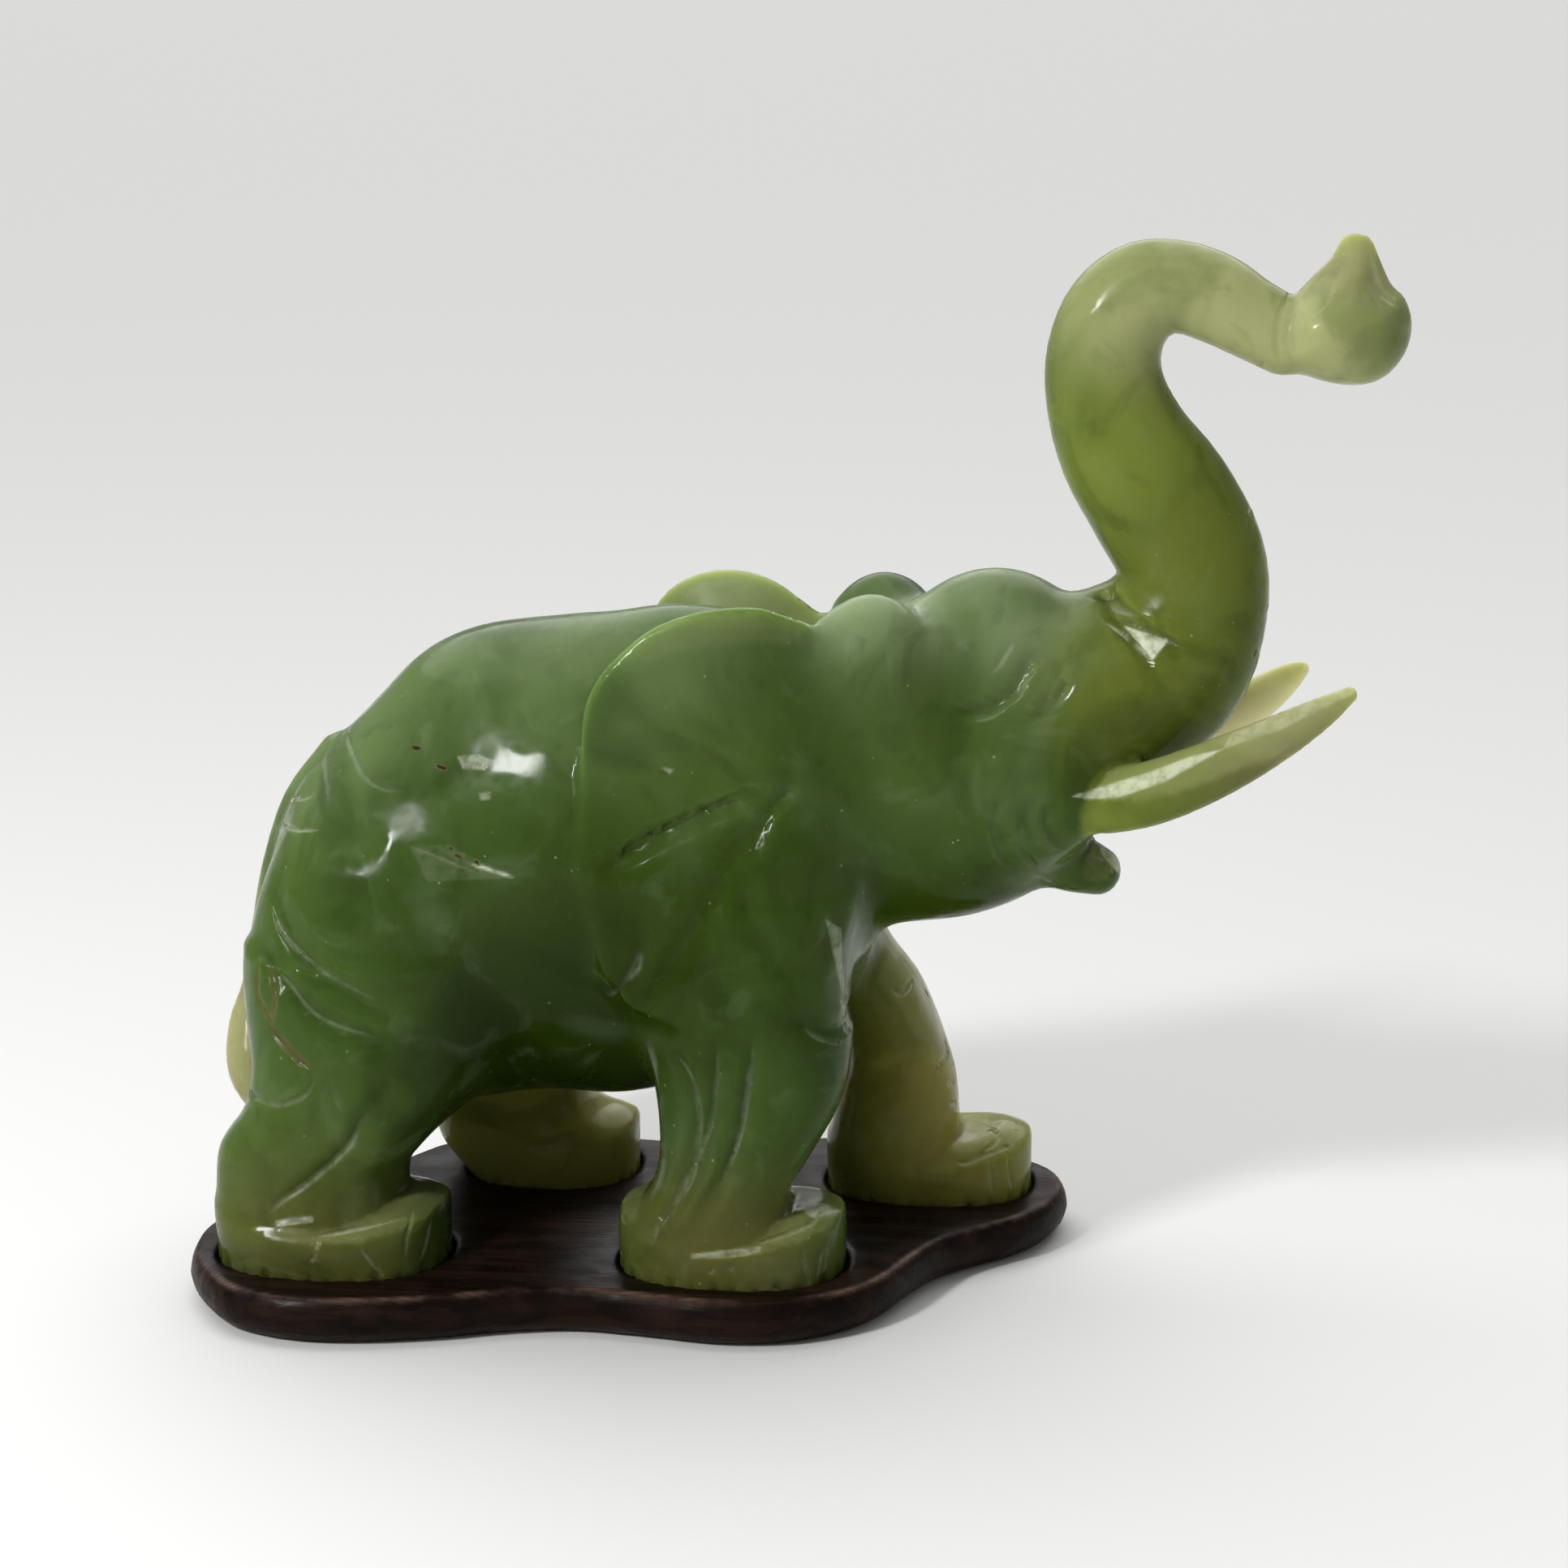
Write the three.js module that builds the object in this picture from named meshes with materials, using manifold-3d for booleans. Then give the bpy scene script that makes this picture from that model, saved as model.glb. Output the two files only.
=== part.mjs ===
// A carved jade elephant walking with its trunk raised, on a fitted dark wooden stand.
// Millimetres. The origin is the middle of the stand's underside, +X is the way the elephant faces,
// +Y is its left side and +Z is up.
import * as THREE from "three";
import Module from "manifold-3d";

const wasm = await Module();
wasm.setup();
const { Manifold, Mesh: ManifoldMesh } = wasm;

// how finely the stone is worked out, and how many triangles it keeps
const STEP = 1.55;
const STONE_TRIANGLES = 8700;
const STONE_LOW = [-90, -50, 4.5];
const STONE_HIGH = [148, 50, 206];
const REACH = 14;

// wooden stand
const STAND_HEIGHT = 9.0;
const RECESS_FLOOR = 7.0;
const RECESS_CLEARANCE = 1.0;
const STAND_SAMPLES = 60;
const STAND_OUTLINE = [
  [-82.2, -24], [-79.6, -34.5], [-71.8, -46.4], [-63.5, -51.4], [-54, -53.3], [-43, -52.4],
  [-30.6, -49.3], [-19, -44.9], [-6, -42.2], [8, -43.6], [20, -45.4], [31, -44.3], [39.4, -40.6],
  [46.2, -35], [51, -27.6], [55, -17.4], [59.4, -8.2], [66.2, -0.6], [74.4, 7.2], [79.7, 17], [81.2, 28],
  [76, 39], [60, 48], [40, 50.5], [22, 48], [4, 43.5], [-13, 45.5], [-30, 47.5], [-46, 38], [-57, 20],
  [-69, 4], [-78.6, -7.4], [-82, -15],
];
// height and how far the side stands in from the outline there
const STAND_SIDE = [
  [0, 2.4],
  [0.9, 1.0],
  [2.6, -0.4],
  [4.9, -1.0],
  [7.2, -0.6],
  [8.5, 0.1],
  [9.0, 0.6],
];

// feet: centre x and y, half length and half width
const FEET = {
  nearHind: [-54.8, -25.5, 22.0, 17.3],
  nearFront: [21.2, -21.8, 21.3, 16.6],
  farFront: [54.5, 27.3, 20.4, 16.2],
  farHind: [-22.2, 27.5, 17.1, 15.6],
};
const FOOT_POWER = 2.4;
const FOOT_LOW = 7.3;
const FOOT_RIM = 15.2;
const FOOT_HIGH = 19.2;
// how much higher the pad is at its toe and heel than at its middle
const FOOT_RISE = 4.6;

// legs: height, rear x, front x, centre y and half width at that height
const LEG_POWER = 2.5;
const LEG_NEAR_HIND = [
  [7, -75.2, -44, -25.5, 12.5], [12, -76, -43, -25.5, 13.5], [16.8, -76.9, -41, -25.5, 14.5], [26, -76.8, -40.5, -25, 14.5],
  [31, -75.6, -37, -24.5, 15], [38, -71, -31.5, -23.5, 15.5], [50, -70, -24, -21, 17], [66, -70, -22, -18, 18],
];
const LEG_NEAR_FRONT = [
  [7, 2.4, 34, -22.5, 12.5], [13, 0.8, 33.5, -22.6, 14], [16.5, 0.6, 33, -23, 14.5],
  [20, 2.6, 32.4, -23.6, 13.8], [24.7, 6.4, 32.6, -24.3, 13.2], [31.8, 8.1, 36.6, -24.3, 13.6],
  [42, 7.4, 42, -23, 15.4], [53, 5, 43.7, -21.5, 17.5], [62, 4, 42.2, -20, 19], [78, 4, 41, -18, 18],
];
const LEG_FAR_FRONT = [
  [7, 36.4, 60, 26.5, 12.5], [14, 34.6, 60.8, 25.5, 13.8], [20.2, 34.8, 60.6, 25, 13.8],
  [30.6, 36.6, 59.8, 25, 13.4], [37.3, 38, 58, 24.5, 14], [44.8, 36, 55.5, 23, 15],
  [52.2, 30, 52.1, 21.5, 17], [60, 22, 46.6, 20, 18], [76, 10, 38.5, 18, 18],
];
const LEG_FAR_HIND = [
  [7, -37.2, -8, 27.3, 12.5], [10.4, -41, -6.6, 27, 14.4], [16, -45, -6.8, 26.5, 15.4],
  [20, -45.8, -9.6, 26, 15.4], [24, -46.4, -13.8, 25.5, 15.4], [30, -49.6, -15.2, 24.5, 15.4],
  [38, -54, -20, 23, 16], [50, -62, -24, 21, 17], [66, -68, -22, 18, 18],
];

// body, head and haunches: centre, half sizes, fillet and how far the nose of the form is tipped up, in degrees
const TORSO = [
  [[-36, 0, 72], [35.5, 34, 39.5], 1, 0],
  [[-27, 0, 92], [27, 27, 32.5], 6, 0],
  [[-6, 0, 81.5], [44, 36.5, 46.5], 8, 0],
  [[8, 0, 92], [28, 26, 38], 4, 0],
  [[24, 0, 88], [26, 30, 40], 8, 0],
];
const HAUNCH = [[-45.5, 18, 64], [26, 18, 34], 6, -12];
const SHOULDER = [[22, 20, 80], [19, 16.5, 34], 8, 0];
const HEAD = [
  [[52, 0, 103], [26, 22, 27], 8, 0],
  [[68, 0, 113.3], [22, 19, 24.8], 5, 0],
  [[60, 0, 92.5], [28.3, 21, 20.5], 8, 14],
];
const DOME = [[46, 12.5, 119.5], [12, 10.5, 15.4], 4, 0];
const CHEEK = [[74, 12, 100], [17, 11, 14], 6, 0];

// round runs: x, y, z and radius from root to tip
const LOWER_LIP = [[70, 0, 89, 7.5], [78, 0, 85.2, 6.6], [83, 0, 82.6, 5.6], [87.6, 0, 81, 4.5]];
const TRUNK = [
  [80, 0, 111, 21], [96.6, 0, 120.5, 17.7], [103.2, 0, 131, 14.7], [103.5, 0, 141, 13.6],
  [97.8, 0, 151.5, 13.5], [91.4, 0, 160.7, 12.4], [87.6, 0, 170, 11.1], [86.9, 0, 178, 10.4],
  [89.2, 0, 185, 9.9], [94, 0, 189.4, 9.2], [100.3, 0, 190.3, 8.3], [106.6, 0, 188.4, 8.1],
  [112.5, 0, 185.2, 7.4], [119.5, 0, 181.6, 7],
];
// the bud that ends the trunk: outline in the side view, width of its rounded rim, and half thickness low and at the top
const BUD = [
  [118, 181], [119.2, 186.4], [123.4, 191.8], [127.4, 196], [129.4, 199.8], [133.6, 199.8], [136, 195.2],
  [138, 191.2], [140.6, 188.6], [142, 184], [140.8, 178.6], [136.9, 174.2], [131, 173], [124, 174.4],
  [119, 176.8],
];
const BUD_ROUND = 9.5;
const BUD_HALF = 10.5;
const BUD_TIP_HALF = 2.8;
const TUSK_NEAR = [
  [80, -13, 96, 4.2], [90, -16, 98, 5.8], [99.5, -18, 101, 5.9], [110, -19, 105.9, 5.3], [120, -19, 111.4, 4.2],
  [127.5, -18.5, 116, 2.9], [132.5, -18, 119.4, 1.5],
];
const TUSK_FAR = [
  [80, 13, 96, 4.2], [90, 16, 98, 6], [98.5, 17.5, 101.2, 5.8], [108, 17.5, 105.8, 5.2], [116.5, 17, 111, 4.2],
  [121.7, 16.5, 115, 3], [124.8, 16, 117.4, 1.6],
];
const TAIL = [
  [-57.5, 0, 99.4, 4.5], [-65.2, 0, 89.6, 4.2], [-69.7, -0.5, 77, 4], [-72, -2, 64, 4],
  [-73.2, -4, 54, 4.3], [-74.4, -6.5, 46, 5.4], [-73.6, -9.5, 39, 5.7], [-71, -12, 33.5, 4.2],
];

// ears: outline in the side view from the root over the top, down the free edge and round the foot of the ear
const EAR_LOWER = [
  [-4.9, 110.7], [-4.9, 103], [-4.6, 95.8], [-3, 88.3], [0, 78], [1, 68], [6, 62.5], [18, 62], [32, 65.5],
  [42, 80], [43, 105],
];
const EAR_NEAR = [
  [36, 128], [30, 132.6], [25, 134.1], [18, 133.8], [12.4, 132.5], [7.4, 130.3], [2.9, 126.8], [-1.6, 122],
  [-4.1, 117], ...EAR_LOWER,
];
const EAR_FAR = [
  [36, 123], [32.4, 125], [28.2, 127.6], [24.4, 130], [19.5, 131.9], [13.1, 132.4], [7.5, 131.2], [2.6, 128.4],
  [-0.6, 124.6], [-3.6, 118], ...EAR_LOWER,
];
const EAR_TOP_Y = 28;
const EAR_SPREAD = 0.19;
const EAR_TURN = 0.0125;
const EAR_EDGE = 2.0;
const EAR_WEDGE = 0.75;

// carved lines in the side view: points, half width, depth and lean to one side; a depth below zero is a rib
const EAR_LINES = [
  [[[-1.5, 87.5], [9, 94.4], [22.4, 100.5], [29.3, 102.6]], 2.4, 1.7, -0.5],
  [[[33.6, 105], [33, 102.5], [29.8, 98.3], [27.9, 93.8], [26.6, 90]], 2, 1.2, -0.4],
  [[[31, 99], [25.5, 95], [21.6, 87.1], [17.1, 77.9], [12.6, 71.3], [5, 62.5]], 3.6, 1.3, 0],
  [[[6.1, 80], [6.3, 70.3], [0, 63.5]], 2.6, 0.8, 0],
  [[[27, 92], [25.6, 82], [29.8, 73.7], [33.5, 67]], 3.2, 0.9, 0],
  [[[12, 123], [17, 118.7], [28.4, 109.3], [32, 106]], 3.4, -0.7, 0],
  [[[-3.5, 110], [4.3, 111.8], [14.5, 111.9], [25.6, 107.6], [31, 105]], 2.8, -0.6, 0],
  [[[-3, 109.5], [7.2, 105.9], [14, 104]], 3, 0.6, 0],
];
const RUMP_LINES = [
  [[[-64.5, 80], [-63.1, 77.8], [-60.1, 72], [-55.2, 66.4], [-49.6, 63.2], [-44.4, 60.4], [-39, 58.4]], 3.4, 1.3, 0.25],
  [[[-66.5, 69.5], [-64.1, 66.7], [-59.9, 62.2], [-55.4, 57.8], [-50.4, 55], [-44.6, 53.1], [-40.3, 51.6]], 3.4, 1.3, 0.25],
  [[[-61.5, 100.5], [-58.5, 98], [-55, 93.6], [-49.5, 91.4], [-42, 91.6]], 5, 1.3, -0.4],
];
const FACE_LINES = [
  [[[61, 115], [64.8, 114.8], [67.8, 115.3], [72, 118.1], [74, 121.4], [76.5, 126]], 2, 1.2, 0.3],
  [[[75.5, 113.6], [76.7, 114.8], [79.7, 117.3], [82.3, 120.7], [82.8, 122]], 1.7, 0.9, -0.3],
  [[[71.5, 101], [69.8, 97], [71.5, 90]], 2, 0.6, 0],
  [[[76.5, 101], [75.2, 96], [77, 89]], 2, 0.6, 0],
  [[[80.2, 99], [79, 95], [82, 89]], 2, 0.7, 0],
];
const TRUNK_ROOT_LINES = [
  [[[85.5, 136], [88, 133.5], [93.2, 127.5], [97.6, 122.6]], 2.4, 1.6, 0.4],
  [[[85.5, 137], [89.5, 134.4], [96, 130.4], [102.5, 126.6]], 2.2, 1.5, -0.4],
];
const NEAR_LEG_LINES = [
  [[[-40, 46], [-45.5, 39.6], [-47.6, 35.5], [-53.2, 29.4], [-62.8, 21.4]], 3.8, 1.3, 0.35],
  [[[21, 58], [20.4, 55.7], [20, 47.1], [18.8, 39.6], [16.4, 30.1], [10.2, 20.3]], 2.2, 1.2, 0],
  [[[27, 60], [26.9, 57.2], [26.3, 48.6], [24.8, 39.8], [22.4, 32.2], [18.1, 23.8], [14.8, 19.3]], 2.2, 1.1, 0],
  [[[12.4, 54], [12.9, 53], [16.2, 47.5], [16.7, 40.7], [14.3, 31.2], [9.6, 20.8]], 2, 0.8, 0],
  [[[33, 61], [34.7, 60], [39.4, 57.4], [46, 56.2]], 2.6, 0.9, 0.2],
];

const clamp = THREE.MathUtils.clamp;
const ramp = THREE.MathUtils.smoothstep;

function smoothMin(a, b, k) {
  const h = clamp(0.5 + (0.5 * (b - a)) / k, 0, 1);
  return b + (a - b) * h - k * h * (1 - h);
}

function smoothMax(a, b, k) {
  return -smoothMin(-a, -b, k);
}

// rows of numbers with more rows put between them along a smooth line
function smoothRows(rows, perSpan) {
  const width = rows[0].length;
  const chunks = [];
  for (let start = 0; start < width; start += 3) {
    const points = rows.map((row) => new THREE.Vector3(row[start], row[start + 1] ?? 0, row[start + 2] ?? 0));
    chunks.push(new THREE.CatmullRomCurve3(points, false, "catmullrom", 0.5));
  }
  const count = (rows.length - 1) * perSpan;
  const out = [];
  for (let i = 0; i <= count; i += 1) {
    const parts = chunks.map((chunk) => chunk.getPoint(i / count).toArray());
    out.push(parts.flat().slice(0, width));
  }
  return out;
}

// a form of the stone: its box, its fillet to what is there already, and the distance to it
function ballForm([centre, radii, fillet, tilt]) {
  const cos = Math.cos(THREE.MathUtils.degToRad(tilt));
  const sin = Math.sin(THREE.MathUtils.degToRad(tilt));
  const reach = tilt === 0 ? radii : [Math.max(...radii), Math.max(...radii), Math.max(...radii)];
  return {
    low: centre.map((value, axis) => value - reach[axis]),
    high: centre.map((value, axis) => value + reach[axis]),
    fillet: () => fillet,
    distance(x, y, z) {
      const dx = x - centre[0];
      const dy = (y - centre[1]) / radii[1];
      const dz = z - centre[2];
      const qx = (dx * cos + dz * sin) / radii[0];
      const qz = (dz * cos - dx * sin) / radii[2];
      const ratio = Math.hypot(qx, dy, qz);
      const slope = Math.hypot(qx / radii[0], dy / radii[1], qz / radii[2]);
      return (ratio * (ratio - 1)) / Math.max(slope, 1e-6);
    },
  };
}

function mirroredBall([centre, radii, fillet, tilt], side) {
  return ballForm([[centre[0], centre[1] * side, centre[2]], radii, fillet, tilt]);
}

// a tapering round limb along a smooth line; flat squeezes or widens it sideways
function limbForm(path, fillet, flat = 1) {
  const line = smoothRows(path, 4).map(([x, y, z, r]) => [x, y / flat, z, r]);
  const scale = Math.min(1, (1 + flat) / 2);
  const low = [0, 1, 2].map((axis) => Math.min(...path.map((row) => row[axis] - row[3])));
  const high = [0, 1, 2].map((axis) => Math.max(...path.map((row) => row[axis] + row[3])));
  return {
    low,
    high,
    fillet: () => fillet,
    distance(x, y, z) {
      let best = 1e9;
      const qy = y / flat;
      for (let i = 0; i + 1 < line.length; i += 1) {
        const [ax, ay, az, ra] = line[i];
        const [bx, by, bz, rb] = line[i + 1];
        const ux = bx - ax;
        const uy = by - ay;
        const uz = bz - az;
        const px = x - ax;
        const py = qy - ay;
        const pz = z - az;
        const t = clamp((px * ux + py * uy + pz * uz) / (ux * ux + uy * uy + uz * uz), 0, 1);
        const gap = Math.hypot(px - t * ux, py - t * uy, pz - t * uz) - (ra + t * (rb - ra));
        best = Math.min(best, gap);
      }
      return best * scale;
    },
  };
}

// an upright leg with a rounded-box section, read off its rows by height
function legForm(rows, fillet) {
  const line = smoothRows(rows, 3);
  const top = rows[rows.length - 1][0];
  return {
    low: [Math.min(...rows.map((r) => r[1])), Math.min(...rows.map((r) => r[3] - r[4])), 0],
    high: [Math.max(...rows.map((r) => r[2])), Math.max(...rows.map((r) => r[3] + r[4])), top],
    fillet: () => fillet,
    distance(x, y, z) {
      let i = 0;
      while (i + 2 < line.length && line[i + 1][0] < z) {
        i += 1;
      }
      const t = clamp((z - line[i][0]) / (line[i + 1][0] - line[i][0]), 0, 1);
      const [, rear, front, middle, half] = line[i].map((value, k) => value + t * (line[i + 1][k] - value));
      const length = (front - rear) / 2;
      const qx = Math.abs((x - (rear + front) / 2) / length);
      const qy = Math.abs((y - middle) / half);
      const ratio = (qx ** LEG_POWER + qy ** LEG_POWER) ** (1 / LEG_POWER);
      return Math.max((ratio - 1) * Math.min(length, half), z - top);
    },
  };
}

// a thick foot pad with a bevelled rim
function footForm([cx, cy, rx, ry], fillet) {
  return {
    low: [cx - rx, cy - ry, FOOT_LOW],
    high: [cx + rx, cy + ry, FOOT_HIGH + FOOT_RISE],
    fillet: () => fillet,
    distance(x, y, z) {
      const qx = Math.abs((x - cx) / rx) ** FOOT_POWER;
      const qy = Math.abs((y - cy) / ry) ** FOOT_POWER;
      const wall = ((qx + qy) ** (1 / FOOT_POWER) - 1) * ry;
      const rise = FOOT_RISE * clamp(((x - cx) / rx) ** 2, 0, 1.2);
      const bevel = (wall + z - FOOT_RIM - rise) * Math.SQRT1_2;
      return smoothMax(smoothMax(wall, bevel, 1), z - FOOT_HIGH - rise, 1.6);
    },
  };
}

function closedOutline(points, perSpan) {
  const curve = new THREE.CatmullRomCurve3(points.map(([x, z]) => new THREE.Vector3(x, 0, z)), true, "catmullrom", 0.5);
  const count = points.length * perSpan;
  const out = [];
  for (let i = 0; i < count; i += 1) {
    const p = curve.getPoint(i / count);
    out.push([p.x, p.z]);
  }
  return out;
}

// how far a point of the side view is from a closed outline, below zero inside
function outlineDistance(line, x, z) {
  let best = 1e9;
  let inside = false;
  for (let i = 0; i < line.length; i += 1) {
    const [ax, az] = line[i];
    const [bx, bz] = line[(i + 1) % line.length];
    const ux = bx - ax;
    const uz = bz - az;
    const t = clamp(((x - ax) * ux + (z - az) * uz) / (ux * ux + uz * uz), 0, 1);
    best = Math.min(best, Math.hypot(x - ax - t * ux, z - az - t * uz));
    if (az > z !== bz > z && x < ax + ((z - az) / uz) * ux) {
      inside = !inside;
    }
  }
  return inside ? -best : best;
}

// the bud: its outline is exact in the side view, and it is a rounded pillow across, thinner to its top
function budForm(fillet) {
  const line = closedOutline(BUD, 3);
  const across = (axis) => BUD.map((point) => point[axis]);
  return {
    low: [Math.min(...across(0)), -BUD_HALF, Math.min(...across(1))],
    high: [Math.max(...across(0)), BUD_HALF, Math.max(...across(1))],
    fillet: () => fillet,
    distance(x, y, z) {
      const half = BUD_HALF + (BUD_TIP_HALF - BUD_HALF) * ramp(z, 184, 200);
      const share = Math.max(0, 1 + outlineDistance(line, x, z) / BUD_ROUND);
      return (Math.hypot(share, y / half) - 1) * Math.min(BUD_ROUND, half);
    },
  };
}

// a fan thin at its free edge and thicker toward its middle; side is -1 for the elephant's right
function earForm(outline, side) {
  const line = closedOutline(outline, 3);
  return {
    low: [-8, Math.min(10 * side, 42 * side), 60],
    high: [46, Math.max(10 * side, 42 * side), 136],
    fillet: (x, z) => 1.3 + 6 * Math.max(ramp(x, 16, 34), ramp(-z, -99, -86)),
    distance(x, y, z) {
      const rim = outlineDistance(line, x, z);
      const turned = clamp(x - 10, 0, 40);
      const drop = EAR_SPREAD * clamp(134 - z, -4, 46) + 0.04 * clamp(88 - z, 0, 30);
      const outer = EAR_TOP_Y + drop - EAR_TURN * turned * turned;
      const thick = EAR_EDGE + EAR_WEDGE * clamp(-rim, 0, 20);
      const out = y * side;
      return smoothMax(smoothMax(out - outer, rim, 1.4), outer - thick - out, 1);
    },
  };
}

// a carved line on one flank: how much it takes off at a point, fading to both of its ends
function grooveCut([points, width, depth, lean], side) {
  const line = smoothRows(points, 4);
  const lengths = line.slice(1).map((p, i) => Math.hypot(p[0] - line[i][0], p[1] - line[i][1]));
  const total = lengths.reduce((sum, length) => sum + length, 0);
  const low = [0, 1].map((axis) => Math.min(...line.map((p) => p[axis])) - 2 * width);
  const high = [0, 1].map((axis) => Math.max(...line.map((p) => p[axis])) + 2 * width);
  return (x, y, z) => {
    if (y * side < 4 || x < low[0] || x > high[0] || z < low[1] || z > high[1]) {
      return 0;
    }
    let best = 1e9;
    let along = 0;
    let hand = 0;
    let start = 0;
    for (let i = 0; i < lengths.length; i += 1) {
      const ux = line[i + 1][0] - line[i][0];
      const uz = line[i + 1][1] - line[i][1];
      const px = x - line[i][0];
      const pz = z - line[i][1];
      const t = clamp((px * ux + pz * uz) / (ux * ux + uz * uz), 0, 1);
      const gap = Math.hypot(px - t * ux, pz - t * uz);
      if (gap < best) {
        best = gap;
        along = (start + t * lengths[i]) / total;
        hand = Math.sign(ux * pz - uz * px);
      }
      start += lengths[i];
    }
    const profile = clamp(1 - best / (width * (1 + lean * hand)), 0, 1);
    const fade = clamp(Math.min(along, 1 - along) * 5, 0, 1) ** 0.7;
    return depth * profile * fade;
  };
}

// the whole stone as one distance, below zero inside
function makeElephantField() {
  const rounded = [
    ...TORSO.map(ballForm),
    ...[-1, 1].flatMap((side) => [mirroredBall(HAUNCH, side), mirroredBall(SHOULDER, side)]),
    ...HEAD.map(ballForm),
    ...[-1, 1].flatMap((side) => [mirroredBall(DOME, side), mirroredBall(CHEEK, side)]),
    limbForm(LOWER_LIP, 2.5, 1.45),
    limbForm(TRUNK, 2.4, 0.96),
    budForm(1),
    ...[LEG_NEAR_HIND, LEG_FAR_HIND, LEG_NEAR_FRONT, LEG_FAR_FRONT].map((rows) => legForm(rows, 5)),
    ...Object.values(FEET).map((foot) => footForm(foot, 1.6)),
  ];
  const ears = [earForm(EAR_NEAR, -1), earForm(EAR_FAR, 1)];
  const added = [limbForm(TUSK_NEAR, 1.4, 0.8), limbForm(TUSK_FAR, 1.4, 0.8), limbForm(TAIL, 1.2)];
  const bothSides = [...EAR_LINES, ...RUMP_LINES, ...FACE_LINES, ...TRUNK_ROOT_LINES];
  const grooves = [
    ...[-1, 1].flatMap((side) => bothSides.map((groove) => grooveCut(groove, side))),
    ...NEAR_LEG_LINES.map((groove) => grooveCut(groove, -1)),
  ];
  const join = (value, form, reach, x, y, z) => {
    const { low, high } = form;
    if (x < low[0] - reach || x > high[0] + reach || y < low[1] - reach) {
      return value;
    }
    if (y > high[1] + reach || z < low[2] - reach || z > high[2] + reach) {
      return value;
    }
    return smoothMin(value, form.distance(x, y, z), form.fillet(x, z));
  };
  return (x, y, z) => {
    let value = 60;
    for (const form of rounded) {
      value = join(value, form, REACH, x, y, z);
    }
    value = Math.max(value, FOOT_LOW - z);
    for (const form of ears) {
      value = join(value, form, 10, x, y, z);
    }
    if (Math.abs(value) < 8) {
      for (const groove of grooves) {
        value += groove(x, y, z);
      }
    }
    for (const form of added) {
      value = join(value, form, REACH, x, y, z);
    }
    return Math.max(value, FOOT_LOW - z);
  };
}

// fills the outer corner of every place where the stone would only touch itself across a corner,
// so that the net has two cells at every edge
function untangle(values, size, stride) {
  const [nx, ny, nz] = size;
  const fill = (first, second) => {
    const outer = values[first] < values[second] ? first : second;
    values[outer] = -1e-3;
  };
  for (let pass = 0; pass < 6; pass += 1) {
    let changed = 0;
    for (let here = 0; here + stride[0] + stride[1] + stride[2] < nx * ny * nz; here += 1) {
      for (const [u, v] of [[1, 2], [0, 2], [0, 1]]) {
        const a = here;
        const b = here + stride[u];
        const c = b + stride[v];
        const d = here + stride[v];
        const inA = values[a] < 0;
        const inB = values[b] < 0;
        if (inA !== inB && inA === values[c] < 0 && inB === values[d] < 0) {
          fill(inA ? b : a, inA ? d : c);
          changed += 1;
        }
      }
    }
    if (changed === 0) {
      break;
    }
  }
}

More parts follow.
